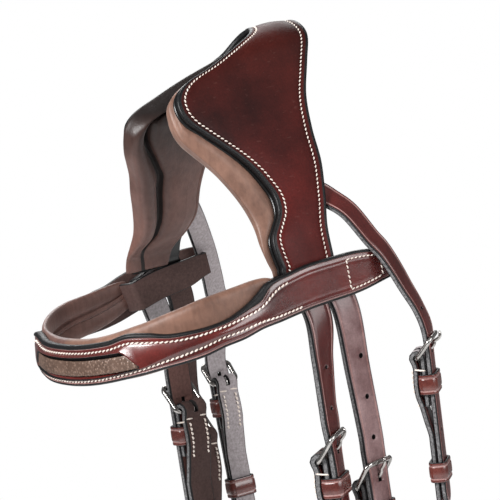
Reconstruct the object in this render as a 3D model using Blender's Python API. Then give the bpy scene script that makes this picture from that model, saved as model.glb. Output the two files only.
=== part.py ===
"""Anatomic bridle with a padded two-wing headpiece, for a full-size horse.

Metres. +Z is up, -Y is the forehead side and +X is the horse's left side.
The origin is the middle of the flat seat under the poll, where the bridle hangs.
"""
import math

import bmesh
import bpy
from mathutils import Matrix, Vector

# Leather, gaps and common shares
GAP = 0.0003                    # running gap between neighbouring pieces
LEATHER = 0.0036                # strap leather
THIN_LEATHER = 0.0028           # throatlatch leather
EDGE_SHARE = 0.3                # rounding of a strap's edge, of its thickness
STRAP_WIDTH = 0.016
THROAT_WIDTH = 0.013
SIDES = {"left": 1.0, "right": -1.0}

# Headpiece: each side of its outer face is an arc over the poll, a straight flank and a bend to the
# vertical. It hangs a little to the right: the arch's top is off the middle, and the leather has slid.
POLL_ANGLE = {"left": math.radians(65.0), "right": math.radians(60.5)}
POLL_RADIUS = {"left": 0.0243, "right": 0.0218}
FLANK_RUN = {"left": 0.082, "right": 0.108}
BEND_RADIUS = {"left": 0.130, "right": 0.061}
POLL_OUT = 0.006                # the arch's top, towards the left side
SLIDE = 0.007                   # the leather's middle lies this far to the right of the arch's top
WING_RUN = 0.158                # from the poll to the end of a wing, along the leather
WING_REACH = 0.090              # how far the wing's tip stands forward of the poll line
SHELL_LEATHER = 0.0032
SHELL_CROWN = 0.0008
PIPING_LEATHER = 0.0020
PIPING_MARGIN = 0.0018          # the second layer shows past the shell by this much
SHELL_ROWS = 54
SHELL_RUN = {"left": 0.1510, "right": 0.1405}   # the wings end here and their straps go on
FRONT_EDGE_SHARES = {
    "left": (
        (0.0, 0.19), (0.06, 0.225), (0.114, 0.297), (0.171, 0.473), (0.222, 0.676), (0.26, 0.869),
        (0.304, 0.967), (0.353, 0.99), (0.398, 0.965), (0.443, 0.9), (0.542, 0.748), (0.604, 0.677),
        (0.665, 0.633), (0.711, 0.612), (0.77, 0.629), (0.811, 0.679), (0.85, 0.728), (0.9, 0.737),
        (1.0, 0.711)),
    "right": (
        (0.0, 0.19), (0.06, 0.225), (0.114, 0.297), (0.171, 0.473), (0.222, 0.676), (0.26, 0.84),
        (0.304, 0.925), (0.353, 0.935), (0.398, 0.91), (0.443, 0.865), (0.542, 0.785), (0.604, 0.745),
        (0.665, 0.72), (0.711, 0.71), (0.77, 0.72), (0.811, 0.75), (0.85, 0.785), (0.9, 0.8),
        (1.0, 0.8))}
BACK_EDGE_SHARES = {
    "left": (
        (0.0, -0.12), (0.088, -0.105), (0.17, -0.08), (0.273, 0.011), (0.389, 0.113), (0.509, 0.169),
        (0.629, 0.202), (0.746, 0.269), (0.858, 0.336), (1.0, 0.356)),
    "right": (
        (0.0, -0.12), (0.088, -0.105), (0.17, -0.06), (0.273, 0.07), (0.389, 0.235), (0.459, 0.315),
        (0.568, 0.35), (0.684, 0.352), (0.746, 0.38), (0.797, 0.42), (0.858, 0.445), (1.0, 0.445))}
SLIT_WIDTH = 0.0016             # parts the neck of a wing into its two straps
SLIT_LENGTH = 0.0035

# Headpiece pad
PAD_DEPTH = 0.0090              # pad under the poll, down to the seat
PAD_SEAT_RUN = 0.021            # the underside stays level this far each way along the arch
PAD_FLANK_DEPTH = 0.0105
PAD_SHORT = 0.0020              # the pad stops short of the wing's end
PAD_END_DEPTH = 0.0035
PAD_FADE_RUN = 0.030            # the seat turns into the channelled wings over this length
PAD_ROWS = 40
PAD_STITCH_INSET = 0.0050       # the sewn channel lies this far inside the leather's edge
PAD_FRONT_SHARES = {
    "left": (
        (0.0, 0.175), (0.06, 0.215), (0.114, 0.295), (0.171, 0.475), (0.222, 0.68), (0.26, 0.865),
        (0.304, 0.965), (0.353, 1.0), (0.398, 1.012), (0.443, 0.998), (0.496, 0.94), (0.557, 0.87),
        (0.614, 0.822), (0.674, 0.783), (0.74, 0.75), (0.8, 0.73), (0.87, 0.72), (0.915, 0.7),
        (0.955, 0.63)),
    "right": (
        (0.0, 0.175), (0.06, 0.215), (0.114, 0.295), (0.171, 0.475), (0.222, 0.68), (0.26, 0.86),
        (0.304, 0.955), (0.345, 0.975), (0.398, 0.965), (0.443, 0.938), (0.496, 0.905), (0.566, 0.88),
        (0.652, 0.841), (0.743, 0.807), (0.812, 0.8), (0.857, 0.79), (0.915, 0.77), (0.955, 0.73))}
PAD_BACK_SHARES = {
    "left": (
        (0.0, -0.13), (0.088, -0.12), (0.17, -0.1), (0.273, -0.015), (0.389, 0.085), (0.509, 0.142),
        (0.629, 0.178), (0.746, 0.245), (0.82, 0.29), (0.87, 0.34), (0.915, 0.385), (0.955, 0.43)),
    "right": (
        (0.0, -0.13), (0.088, -0.12), (0.17, -0.075), (0.273, 0.08), (0.389, 0.28), (0.459, 0.365),
        (0.568, 0.4), (0.684, 0.398), (0.746, 0.43), (0.797, 0.465), (0.858, 0.5), (0.915, 0.53),
        (0.955, 0.56))}
# Across half of the pad's section: share of the way from the edge to the channel, and depth share
PAD_ROLL_SHARES = ((0.0, 0.42), (0.06, 0.74), (0.25, 0.97), (0.5, 1.0), (0.8, 0.86), (1.0, 0.66))
PAD_PANEL_SHARES = ((1.35, 0.86), (1.9, 0.95))
PAD_ROLL_SIDE_SHARE = 0.2       # this near to the edge, the roll keeps its shape under the poll too
PAD_TOP_SHARES = ((0.25, 0.03), (0.0, 0.0))     # the pad's top, beside its edge and at its middle

# Straps that hang from the wings. Drops are measured down from the top of the leather.
NECK_LINE = {"left": -0.048, "right": -0.0560}   # middle of a wing's neck, along Y
LOOP_LINE = {"left": -0.0415, "right": -0.0465}  # middle of the two straps inside the browband's loops
LOOP_PITCH = 0.0180
CHEEK_LINE = {"left": -0.0530, "right": -0.0480}  # middle of the front straps at their buckles
NOSE_LINE = {"left": -0.0290, "right": -0.0325}  # middle of the rear straps at their buckles
STRAP_OUT = 0.0764              # the billets' middle inside the loops, out from the centre
CHEEK_OUT = {"left": 0.0764, "right": 0.0764}   # the same at their buckles
NOSE_STRAP_OUT = {"left": 0.0764, "right": 0.0945}
CHEEK_YAW = {"left": 38.0, "right": -7.0}
NOSE_YAW = {"left": 14.0, "right": -7.0}
CHEEK_BAR_DROP = {"left": 0.225, "right": 0.210}
NOSE_BAR_DROP = {"left": 0.246, "right": 0.232}
THROAT_BAR_DROP = {"left": 0.182, "right": 0.206}
THROAT_YAW = {"left": 42.0, "right": 5.0}
THROAT_OUT = {"left": 0.0930, "right": 0.1000}
THROAT_LINE = {"left": 0.0050, "right": -0.0060}
THROAT_LEAN = 0.05              # the throat straps lean in by this share of their drop
THROAT_SAG = 0.082
THROAT_TURNS = 26
# The throat billets leave the wings' rear edges. The left one passes outside the browband's tip and the
# right one behind it. Each place is (out, line, drop).
THROAT_ROUTE = {
    "left": (
        (0.0605, -0.0155, 0.0840), (0.0725, -0.0130, 0.1010), (0.0858, -0.0085, 0.1210), (0.0890, -0.0030, 0.1380)),
    "right": (
        (0.0574, -0.0243, 0.0890), (0.0672, -0.0210, 0.1035), (0.0778, -0.0175, 0.1175), (0.0865, -0.0145, 0.1330),
        (0.0935, -0.0115, 0.1490))}

# Buckles, written for a strap of any width
WIRE = 0.0012                   # radius of the frame's wire
FRAME_REACH = 0.0170            # hinge bar to top bar
FRAME_SIDE_CLEARANCE = 0.0006
FRAME_CORNER = 0.0024
TONGUE_WIRE = 0.0010
TONGUE_STEP_SHARES = ((0.22, -0.12), (0.34, 0.30), (0.45, 0.50), (0.56, 0.58))
FOLD_TAPER = 0.0080             # below the bar, the fold's two layers close up over this length
KEEPER_HEIGHT = 0.0110
KEEPER_LEATHER = 0.0016
KEEPER_DROP = 0.0140            # hinge bar to the middle of the fixed keeper
FOLD_RETURN = 0.0260            # hinge bar to the end of the folded layer
MERGE_DROP = 0.0420             # below here the lower strap lies against the billet
RUNNER_DROP = 0.0620
BILLET_TAIL = 0.0800            # hinge bar to the billet's tip
HOLE_RADIUS = 0.0016
HOLE_PITCH = 0.0220
PIN_SIDES = 8
UPPER_HOLES_RUN = {"cheek": 0.044, "noseband": 0.066, "throat": 0.044, "chin": 0.066}
LOWER_HOLES_RUN = 0.044
SLOT_WIDTH = 0.0032
SLOT_LENGTH_SHARE = 0.4         # of the strap's width
TONGUE_EYE_START = -20          # degrees, where the tongue's eye opens
TONGUE_EYE_TURN = 250
BILLET_TIP_SHARE = 0.35         # the billet's tip narrows to this share of its width
STRAIGHT_SHARES = (1.8, 1.1)    # a billet faces its buckle from here down, in frame lengths above the bar
BILLET_SETTLED_SHARE = 0.8      # the billets hang straight from this far below the band's middle, in band heights

# Browband
BAND_LEATHER = 0.0035
BAND_HEIGHT = 0.0225
BAND_SWELL = 0.0016             # the raised middle of the band
BAND_OUT = 0.0800               # the band's side, out from the centre
BAND_FRONT = -0.1600            # the middle of the forehead, along Y
BAND_BACK = {"left": -0.0040, "right": -0.0185}  # the sewn tips behind the loops
LOOP_BELOW_WING = 0.0101764     # the loops' middle hangs this far below the right wing's end
BAND_FALL = 0.0255              # from the loops to the middle of the forehead
BAND_TIP_OUT_SHARE = 0.99
# Half of the band's route, from its tip: shares of its side, of its front and of its fall to the front
BAND_ROUTE_SHARES = (
    (0.995, 0.19, 0.04), (1.005, 0.38, 0.1), (1.0, 0.54, 0.28), (0.9, 0.75, 0.6), (0.64, 0.905, 0.85),
    (0.31, 0.98, 0.97))
# Heights along half of a band, from its middle
BAND_HEIGHT_SHARES = ((0.0, 1.0), (0.5, 0.97), (0.66, 0.88), (0.8, 0.84), (0.9, 0.8), (1.0, 0.42))
BAND_RAISED_SHARE = 0.72        # of half the band's length
BAND_SHOULDER_SHARE = 0.8       # the swell halfway between the inlay and the band's edge
BAND_ROWS = 52
INLAY_RUN = 0.050               # half the length of the inlay
INLAY_HEIGHT = 0.0115
INLAY_THICKNESS = 0.0010
INLAY_RECESS = 0.0014
BAND_PAD_HEIGHT = 0.0270
BAND_PAD_DEPTH = 0.0095
BAND_PAD_ROWS = 34
BAND_PAD_SHARE = 0.63           # the pad's length, of its band
BAND_PAD_END_SHARES = (0.55, 0.3)       # a band pad's end is this high and this deep
# Half of a band pad's section: shares of its height and of its depth
BAND_PAD_SHARES = ((0.36, 0.0), (0.47, 0.12), (0.5, 0.4), (0.46, 0.78), (0.36, 0.97), (0.22, 0.95), (0.13, 0.72))
BAND_PAD_MIDDLE_SHARES = (0.9, 0.02)    # the middle of the section's back and of its front, of its depth
BACKING_LEATHER = 0.0020
LOOP_FRONT = {"left": -0.0770, "right": -0.0840} # the loops reach forward to here
BACKING_HEIGHT_SHARE = 0.88
LOOP_OPENING = 3.0              # how soon a loop opens to its full depth

# Noseband, cheekpieces and bit loops
NOSE_OUT = 0.0640
NOSE_FRONT = -0.1420
NOSE_SIDE_FRONT = -0.0780       # where the side turns into the front arc
NOSE_END = -0.0260              # the noseband's own ends
NOSE_DROP = 0.4130
NOSE_HEIGHT = 0.0280
NOSE_PAD_HEIGHT = 0.0320
NOSE_PAD_DEPTH = 0.0110
NOSE_INLAY_RUN = 0.066
NOSE_INLAY_HEIGHT = 0.0145
NOSE_HEIGHT_SHARES = ((0.0, 1.0), (0.5, 0.98), (0.75, 0.8), (0.9, 0.7), (1.0, 0.62))
NOSE_RAISED_SHARE = 0.7
NOSE_TURNS = 8
NOSE_ROWS = 46
CHIN_BAR_LINE = 0.0510
CHIN_REAR = 0.1050
CHIN_TURN_SHARE = 1.6           # the chin strap starts to turn this many frame lengths behind the bar
CHIN_TURNS = 8
CHIN_ROOT = -0.0620             # the chin straps are sewn inside the noseband from here
HANGER_LINE = -0.0345
CHEEK_END_LINE = -0.0600
BIT_DROP = 0.4900
BIT_LOOP_RADIUS = 0.0065
BIT_LOOP_CENTRE_SHARE = 1.3
BIT_LOOP_SHARES = ((0.62, 0.6), (1.0, 1.3), (0.72, 2.0), (0.0, 2.3), (-0.72, 2.0), (-1.0, 1.3), (-0.62, 0.6))
CHEEK_END_OUT = NOSE_OUT + BAND_LEATHER / 2 + LEATHER * 1.5 + 4 * GAP
BIT_RETURN = 0.0400
STUD_DROP = 0.0260              # bit loop to the hook stud
STUD_HEAD = 0.0034

SEAM = 0.0008                   # between a wing's end and the straps that continue it
CROWN_TOP = PAD_DEPTH + GAP + PIPING_LEATHER + GAP + SHELL_LEATHER


# Scene and materials

def clear_scene():
    for obj in list(bpy.data.objects):
        bpy.data.objects.remove(obj, do_unlink=True)


def new_collection(name):
    collection = bpy.data.collections.new(name)
    bpy.context.scene.collection.children.link(collection)
    return collection


def principled(name, colour, roughness, metallic=0.0):
    material = bpy.data.materials.new(name)
    material.use_nodes = True
    shader = material.node_tree.nodes["Principled BSDF"]
    shader.inputs["Base Color"].default_value = (*colour, 1.0)
    shader.inputs["Roughness"].default_value = roughness
    shader.inputs["Metallic"].default_value = metallic
    material.diffuse_color = (*colour, 1.0)
    return material


clear_scene()
PARTS = new_collection("anatomic_bridle")
CUTTERS = new_collection("cutters")
FINISHES = {
    "leather": ((0.10, 0.018, 0.016), 0.35, 0.0),
    "dark_leather": ((0.012, 0.011, 0.012), 0.4, 0.0),
    "pad": ((0.17, 0.085, 0.06), 0.7, 0.0),
    "inlay": ((0.15, 0.08, 0.05), 0.6, 0.0),
    "metal": ((0.62, 0.60, 0.57), 0.25, 1.0),
}


def finish(obj, kind):
    colour, roughness, metallic = FINISHES[kind]
    obj.data.materials.append(principled(obj.name, colour, roughness, metallic))
    return obj


def add_object(name, data, kind, matrix=None):
    obj = bpy.data.objects.new(name, data)
    PARTS.objects.link(obj)
    if matrix is not None:
        obj.matrix_world = matrix
    return finish(obj, kind)


# Curves through points

def eased(points, at):
    """Height of a smooth curve through (along, height) points, at one place along it."""
    last = len(points) - 1
    slopes = []
    for i in range(len(points)):
        low, high = points[max(i - 1, 0)], points[min(i + 1, last)]
        slopes.append((high[1] - low[1]) / (high[0] - low[0]))
    at = min(max(at, points[0][0]), points[-1][0])
    i = max(k for k in range(last) if points[k][0] <= at)
    run = points[i + 1][0] - points[i][0]
    t = (at - points[i][0]) / run
    rise = points[i + 1][1] - points[i][1]
    bend = slopes[i] * run * t * (1 - t) ** 2 - slopes[i + 1] * run * t * t * (1 - t)
    return points[i][1] + rise * t * t * (3 - 2 * t) + bend


def smooth_route(points, count):
    """Evenly spaced places on a smooth curve through (point, outward) pairs."""
    def spot(i, t):
        p = [points[min(max(i + k, 0), len(points) - 1)] for k in (-1, 0, 1, 2)]
        mixed = []
        for part in (0, 1):
            a, b, c, d = (q[part] for q in p)
            mixed.append(b + ((c - a) + (2 * a - 5 * b + 4 * c - d + (3 * b - a - 3 * c + d) * t) * t) * t / 2)
        return mixed

    fine = [spot(i, k / 16) for i in range(len(points) - 1) for k in range(16)]
    fine.append(list(points[-1]))
    travelled = [0.0]
    for a, b in zip(fine, fine[1:]):
        travelled.append(travelled[-1] + (b[0] - a[0]).length)
    route = []
    k = 0
    for step in range(count):
        want = travelled[-1] * step / (count - 1)
        while k < len(fine) - 2 and travelled[k + 1] < want:
            k += 1
        t = (want - travelled[k]) / (travelled[k + 1] - travelled[k])
        route.append((fine[k][0].lerp(fine[k + 1][0], t), fine[k][1].lerp(fine[k + 1][1], t).normalized()))
    return route


# Closed bodies from a grid that is wrapped round a route

def wrapped(name, rows, section, place, kind, looped=False, matrix=None):
    """Wrap a grid into a tube of rows x section points; place(row, k) gives each point."""
    bm = bmesh.new()
    steps = rows if looped else rows - 1
    bmesh.ops.create_grid(bm, x_segments=steps, y_segments=section, size=1)
    for vert in bm.verts:
        row = round((vert.co.x + 1) / 2 * steps) % rows
        k = round((vert.co.y + 1) / 2 * section) % section
        vert.co = place(row, k)
    bmesh.ops.remove_doubles(bm, verts=bm.verts, dist=GAP / 1000)
    open_edges = [edge for edge in bm.edges if edge.is_boundary]
    if open_edges:
        bmesh.ops.holes_fill(bm, edges=open_edges, sides=0)
    bmesh.ops.recalc_face_normals(bm, faces=bm.faces)
    mesh = bpy.data.meshes.new(name)
    bm.to_mesh(mesh)
    bm.free()
    return add_object(name, mesh, kind, matrix)


def strap_section(width, thickness):
    """Plain strap section as (across, outward) pairs."""
    w, t = width / 2, thickness / 2
    return [(-w, -t), (-w, t), (w, t), (w, -t)]


def frames_along(route, looped=False):
    """Centre, across and outward directions at each place of a route."""
    frames = []
    last = len(route) - 1
    for i, (point, outward) in enumerate(route):
        if looped:
            before, after = route[i - 1][0], route[(i + 1) % len(route)][0]
        else:
            before, after = route[max(i - 1, 0)][0], route[min(i + 1, last)][0]
        along = (after - before).normalized()
        across = along.cross(outward).normalized()
        frames.append((point, across, across.cross(along)))
    return frames


def strap(name, route, width, thickness, kind="leather", looped=False, matrix=None):
    """A strap along a route; width may be one size or a function of the row."""
    frames = frames_along(route, looped)
    sizes = [width(i) if callable(width) else width for i in range(len(route))]
    sections = [strap_section(size, thickness) for size in sizes]

    def place(row, k):
        point, across, outward = frames[row]
        a, b = sections[row][k]
        return point + across * a + outward * b

    return wrapped(name, len(route), len(sections[0]), place, kind, looped, matrix)


def wire(name, points, radius, kind, closed, matrix=None):
    """A round wire as a bevelled curve."""
    curve = bpy.data.curves.new(name, "CURVE")
    curve.dimensions = "3D"
    curve.bevel_depth = radius
    curve.bevel_resolution = 2
    curve.use_fill_caps = not closed
    spline = curve.splines.new("POLY")
    spline.points.add(len(points) - 1)
    spline.use_cyclic_u = closed
    for slot, point in zip(spline.points, points):
        slot.co = (*point, 1.0)
    return add_object(name, curve, kind, matrix)


# Cuts

def cutter_mesh(name, build):
    mesh = bpy.data.meshes.new(name)
    bm = bmesh.new()
    build(bm)
    bm.to_mesh(mesh)
    bm.free()
    obj = bpy.data.objects.new(name, mesh)
    CUTTERS.objects.link(obj)
    obj.hide_render = True
    obj.display_type = "WIRE"
    return obj


def cut(obj, build):
    cutter = cutter_mesh(obj.name + "_cut", build)
    modifier = obj.modifiers.new("cut", "BOOLEAN")
    modifier.operation = "DIFFERENCE"
    modifier.solver = "EXACT"
    modifier.object = cutter


def add_pin(bm, matrix, radius, depth):
    """A round cutter along the local Z axis."""
    bmesh.ops.create_cone(bm, cap_ends=True, segments=PIN_SIDES, radius1=radius, radius2=radius, depth=depth, matrix=matrix)


def add_block(bm, matrix, size):
    bmesh.ops.create_cube(bm, size=1, matrix=matrix @ Matrix.Diagonal((*size, 1.0)))


# The arch that the headpiece follows

def arch(run, inward=0.0):
    """Point and outward normal in the XZ plane, at a signed run from the leather's middle."""
    along = run - SLIDE
    label = "left" if along >= 0 else "right"
    side = SIDES[label]
    left = abs(along)
    radius = POLL_RADIUS[label]
    turned = min(left / radius, POLL_ANGLE[label])
    x = radius * math.sin(turned)
    drop = radius * (1 - math.cos(turned))
    left -= radius * turned
    straight = min(left, FLANK_RUN[label])
    x += straight * math.cos(turned)
    drop += straight * math.sin(turned)
    left -= straight
    bent = min(left / BEND_RADIUS[label], math.pi / 2 - turned) if straight else 0.0
    x += BEND_RADIUS[label] * (math.sin(turned + bent) - math.sin(turned))
    drop += BEND_RADIUS[label] * (math.cos(turned) - math.cos(turned + bent))
    drop += left - BEND_RADIUS[label] * bent
    slope = turned + bent
    outward = Vector((side * math.sin(slope), 0.0, math.cos(slope)))
    return Vector((POLL_OUT + side * x, 0.0, CROWN_TOP - drop)) - outward * inward, outward


def edge_at(shares, run):
    side = "left" if run >= 0 else "right"
    return -WING_REACH * eased(shares[side], abs(run) / WING_RUN)


def row_run(row, rows, short=0.0):
    """Run of one row of a layer, from the right wing's end to the left one's."""
    low, high = short - SHELL_RUN["right"], SHELL_RUN["left"] - short
    return low + (high - low) * row / (rows - 1)


def plate(name, rows, thickness, inward, margin, crown, kind):
    """A leather layer of the headpiece, wing end to wing end."""
    c = thickness * EDGE_SHARE

    def place(row, k):
        run = row_run(row, rows)
        front = edge_at(FRONT_EDGE_SHARES, run) - margin
        back = edge_at(BACK_EDGE_SHARES, run) + margin
        width = back - front
        top = [(front + c, 0.0), (front + width / 4, -crown / 4), (front + width / 2, 0.0)]
        top += [(back - width / 4, -crown / 4), (back - c, 0.0)]
        top = [(y, crown * (1 - ((2 * (y - front) / width) - 1) ** 2) - crown) for y, _ in top]
        rim_back = [(back, -crown - c), (back, -thickness + c)]
        bottom = [(back - c, -thickness), (front + width / 2, -thickness), (front + c, -thickness)]
        rim_front = [(front, -thickness + c), (front, -crown - c)]
        y, lift = (top + rim_back + bottom + rim_front)[k]
        base, outward = arch(run, inward)
        return Vector((base.x, y, base.z)) + outward * lift

    return wrapped(name, rows, 12, place, kind)


def headpiece_pad():
    """Soft pad under both wings: a rolled rim, a sewn channel and an inner panel."""
    inward = SHELL_LEATHER + GAP + PIPING_LEATHER + GAP
    low, high = row_run(0, PAD_ROWS, PAD_SHORT), row_run(PAD_ROWS - 1, PAD_ROWS, PAD_SHORT)

    def blend_at(run):
        """Depth of the pad, and how far its section has changed from plain to channelled."""
        off = abs(run - SLIDE)
        base, outward = arch(SLIDE + min(off, PAD_SEAT_RUN) * (1 if run > SLIDE else -1))
        seat = (base.z / outward.z) - inward
        fade = min(1.0, max(0.0, (off - PAD_SEAT_RUN) / PAD_FADE_RUN))
        ending = min(1.0, min(high - run, run - low) / PAD_FADE_RUN)
        body = seat + (PAD_FLANK_DEPTH - seat) * fade
        return PAD_END_DEPTH + (body - PAD_END_DEPTH) * math.sin(max(0.0, ending) * math.pi / 2), fade

    def place(row, k):
        run = row_run(row, PAD_ROWS, PAD_SHORT)
        depth, fade = blend_at(run)
        front, back = edge_at(PAD_FRONT_SHARES, run), edge_at(PAD_BACK_SHARES, run)
        width = back - front
        front_roll = edge_at(FRONT_EDGE_SHARES, run) + PAD_STITCH_INSET - front
        back_roll = back + PAD_STITCH_INSET - edge_at(BACK_EDGE_SHARES, run)
        front_roll = max(min(front_roll, width / 4), width / 8)
        back_roll = max(min(back_roll, width / 4), width / 8)
        rolls = []
        for share, d in PAD_ROLL_SHARES + PAD_PANEL_SHARES:
            rolls.append((share, d if share < PAD_ROLL_SIDE_SHARE else d * fade + 1 - fade))
        bottom = [(front + share * front_roll, d) for share, d in rolls]
        bottom += [(back - share * back_roll, d) for share, d in reversed(rolls)]
        (beside, dip), (_, flat) = PAD_TOP_SHARES
        top = [(back - back_roll * beside, dip), (back - width / 3, flat)]
        top += [(front + width / 3, flat), (front + front_roll * beside, dip)]
        y, share = (bottom + top)[k]
        base, outward = arch(run, inward)
        return Vector((base.x, y, base.z)) - outward * depth * share

    flatten_seat(wrapped("headpiece_pad", PAD_ROWS, 2 * (len(PAD_ROLL_SHARES) + len(PAD_PANEL_SHARES)) + 4, place, "pad"))


def flatten_seat(pad):
    """Joins the level faces under the poll into one."""
    bm = bmesh.new()
    bm.from_mesh(pad.data)
    level_faces = [face for face in bm.faces if max(abs(vert.co.z) for vert in face.verts) < GAP / 1000]
    for vert in {vert for face in level_faces for vert in face.verts}:
        vert.co.z = 0.0
    bmesh.ops.dissolve_faces(bm, faces=level_faces)
    bm.to_mesh(pad.data)
    bm.free()


def headpiece():
    shell = plate("headpiece_leather", SHELL_ROWS, SHELL_LEATHER, 0.0, 0.0, SHELL_CROWN, "leather")
    piping_in = SHELL_LEATHER + GAP
    lining = plate("headpiece_backing", SHELL_ROWS, PIPING_LEATHER, piping_in, PIPING_MARGIN, 0.0, "dark_leather")
    for layer in (shell, lining):
        cut(layer, add_slits)
    headpiece_pad()


def add_slits(bm):
    for label, side in SIDES.items():
        start, outward = arch(side * (SHELL_RUN[label] - SLIT_LENGTH))
        end, _ = arch(side * (WING_RUN + STRAP_WIDTH))
        along = (end - start).normalized()
        across = outward.cross(along)
        centre = (start + end) / 2 + Vector((0.0, NECK_LINE[label], 0.0))
        turn = Matrix((along, across, outward)).transposed().to_4x4()
        add_block(bm, Matrix.Translation(centre) @ turn, ((end - start).length, SLIT_WIDTH, STRAP_WIDTH))


# Places where a billet meets a buckle

def spot(origin, up, outward):
    """Local frame: X across the strap, Y towards the billet's root, Z outward."""
    up = up.normalized()
    outward = (outward - up * outward.dot(up)).normalized()
    turn = Matrix((up.cross(outward), up, outward)).transposed().to_4x4()
    return Matrix.Translation(origin) @ turn


def yawed(side, degrees):
    angle = math.radians(degrees)
    return Vector((side * math.cos(angle), math.sin(angle), 0.0))


def local_route(frame, places):
    """World route from local (y, z) places, facing the frame's outward side."""
    turn = frame.to_3x3()
    return [(frame @ Vector((0.0, y, z)), turn @ Vector((0.0, ny, nz))) for y, z, ny, nz in places]


class Buckle:
    """One buckle with its tongue, fixed keeper and runner, on a strap of its own width."""

    def __init__(self, name, frame, width, thickness):
        self.name = name
        self.frame = frame
        self.width = width
        self.thickness = thickness
        self.fold_radius = WIRE + GAP + thickness / 2
        self.layer = thickness + GAP
        self.bar = -(self.layer + self.fold_radius)
        rise = thickness / 2 + GAP + WIRE - self.bar
        self.reach = FRAME_REACH * width / STRAP_WIDTH
        self.tilt = math.asin(rise / self.reach)
        self.hinge = frame @ Matrix.Translation((0.0, 0.0, self.bar))

    def fold_places(self, low_y):
        """Lower strap, from low_y up round the bar and down to the end of its fold."""
        near, far = -self.layer, -2 * self.layer
        places = [(low_y, near), (-MERGE_DROP - self.width / 3, near), (-MERGE_DROP, near)]
        places += [(-(MERGE_DROP + FOLD_RETURN) / 2 - GAP, (near + far) / 2)]
        places += [(-FOLD_RETURN, far), (-KEEPER_DROP, far), (-FOLD_TAPER, far)]
        places = [(y, z, 0.0, 1.0) for y, z in places]
        places.append((-FOLD_TAPER / 2, (far + self.bar - self.fold_radius) / 2, 0.0, 1.0))
        for i in range(9):
            angle = math.pi * i / 8
            y = self.fold_radius * math.sin(angle)
            z = self.bar - self.fold_radius * math.cos(angle)
            places.append((y, z, -math.sin(angle), math.cos(angle)))
        places += [(-FOLD_TAPER / 2, near, 0.0, -1.0), (-FOLD_TAPER, near, 0.0, -1.0)]
        places.append((-FOLD_RETURN, near, 0.0, -1.0))
        return places

    def add_slot(self, bm):
        """Room for the tongue in the fold."""
        reach = self.fold_radius + self.thickness
        size = (SLOT_WIDTH, 2 * reach, 2 * reach)
        add_block(bm, self.hinge @ Matrix.Translation((0.0, reach / 3, 0.0)), size)

    def add_billet_holes(self, bm):
        """The slot that holds the tongue, and the punched holes above and below it."""
        y = (self.tongue_places()[1][0] + self.tongue_places()[2][0]) / 2
        slot = (SLOT_WIDTH, SLOT_LENGTH_SHARE * self.width, 3 * self.thickness)
        add_block(bm, self.frame @ Matrix.Translation((0.0, y, 0.0)), slot)
        above = round(UPPER_HOLES_RUN[self.name.split("_")[0]] / HOLE_PITCH)
        for step in range(-round(LOWER_HOLES_RUN / HOLE_PITCH), above + 1):
            if step:
                place = self.frame @ Matrix.Translation((0.0, y + step * HOLE_PITCH, 0.0))
                add_pin(bm, place, HOLE_RADIUS, 3 * self.thickness)

    def tongue_places(self):
        """The tongue's route past its eye, as local (y, z) places."""
        rise = -self.bar
        places = [(self.reach * TONGUE_STEP_SHARES[0][0] / 2, self.bar + rise / 2)]
        for share, lift in TONGUE_STEP_SHARES:
            places.append((self.reach * share, rise * lift))
        return places

    def make(self):
        self.make_frame()
        self.make_tongue()
        self.make_keeper("keeper", KEEPER_DROP, 2)
        self.make_keeper("runner", RUNNER_DROP, 1)

    def make_frame(self):
        half = self.width / 2 + FRAME_SIDE_CLEARANCE + WIRE
        corners = [(-half, 0.0), (half, 0.0), (half, self.reach), (-half, self.reach)]
        points = []
        for i, (x, r) in enumerate(corners):
            px, pr = corners[i - 1]
            nx, nr = corners[(i + 1) % 4]
            corner = Vector((x, r))
            before = (Vector((px, pr)) - corner).normalized()
            after = (Vector((nx, nr)) - corner).normalized()
            centre = corner + (before + after) * FRAME_CORNER
            for step in range(3):
                angle = math.pi / 2 * step / 2
                arm = after * (-math.cos(angle)) + before * (-math.sin(angle))
                points.append(centre + arm * FRAME_CORNER)
        cos, sin = math.cos(self.tilt), math.sin(self.tilt)
        places = [Vector((p.x, p.y * cos, p.y * sin)) for p in points]
        wire(self.name + "_frame", places, WIRE, "metal", True, self.hinge)

    def make_tongue(self):
        eye = WIRE + GAP + TONGUE_WIRE
        points = []
        for step in range(7):
            angle = math.radians(TONGUE_EYE_START - TONGUE_EYE_TURN * step / 6)
            points.append(Vector((0.0, eye * math.cos(angle), eye * math.sin(angle))))
        points += [Vector((0.0, y, z - self.bar)) for y, z in self.tongue_places()]
        wire(self.name + "_tongue", points, TONGUE_WIRE, "metal", False, self.hinge)

    def make_keeper(self, label, drop, layers):
        """A leather band round the billet and the layers behind it."""
        half_x = self.width / 2 + GAP + KEEPER_LEATHER / 2
        top = self.thickness / 2 + GAP + KEEPER_LEATHER / 2
        bottom = -layers * self.layer - top
        corner = self.thickness / 2
        centre_z = (top + bottom) / 2
        half_z = (top - bottom) / 2
        route = []
        for quarter, (sx, sz) in enumerate(((1, 1), (-1, 1), (-1, -1), (1, -1))):
            for step in range(3):
                angle = math.pi / 2 * (quarter + step / 2)
                arm = Vector((math.cos(angle), 0.0, math.sin(angle)))
                middle = Vector((sx * (half_x - corner), 0.0, sz * (half_z - corner)))
                route.append((middle + arm * corner, arm))
        matrix = self.frame @ Matrix.Translation((0.0, -drop, centre_z))
        strap(f"{self.name}_{label}", route, KEEPER_HEIGHT, KEEPER_LEATHER, looped=True, matrix=matrix)


def level(drop):
    return CROWN_TOP - drop


BAND_LOOP_DROP = level(arch(-SHELL_RUN["right"])[0].z) + LOOP_BELOW_WING


# Cheek and noseband straps

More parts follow.
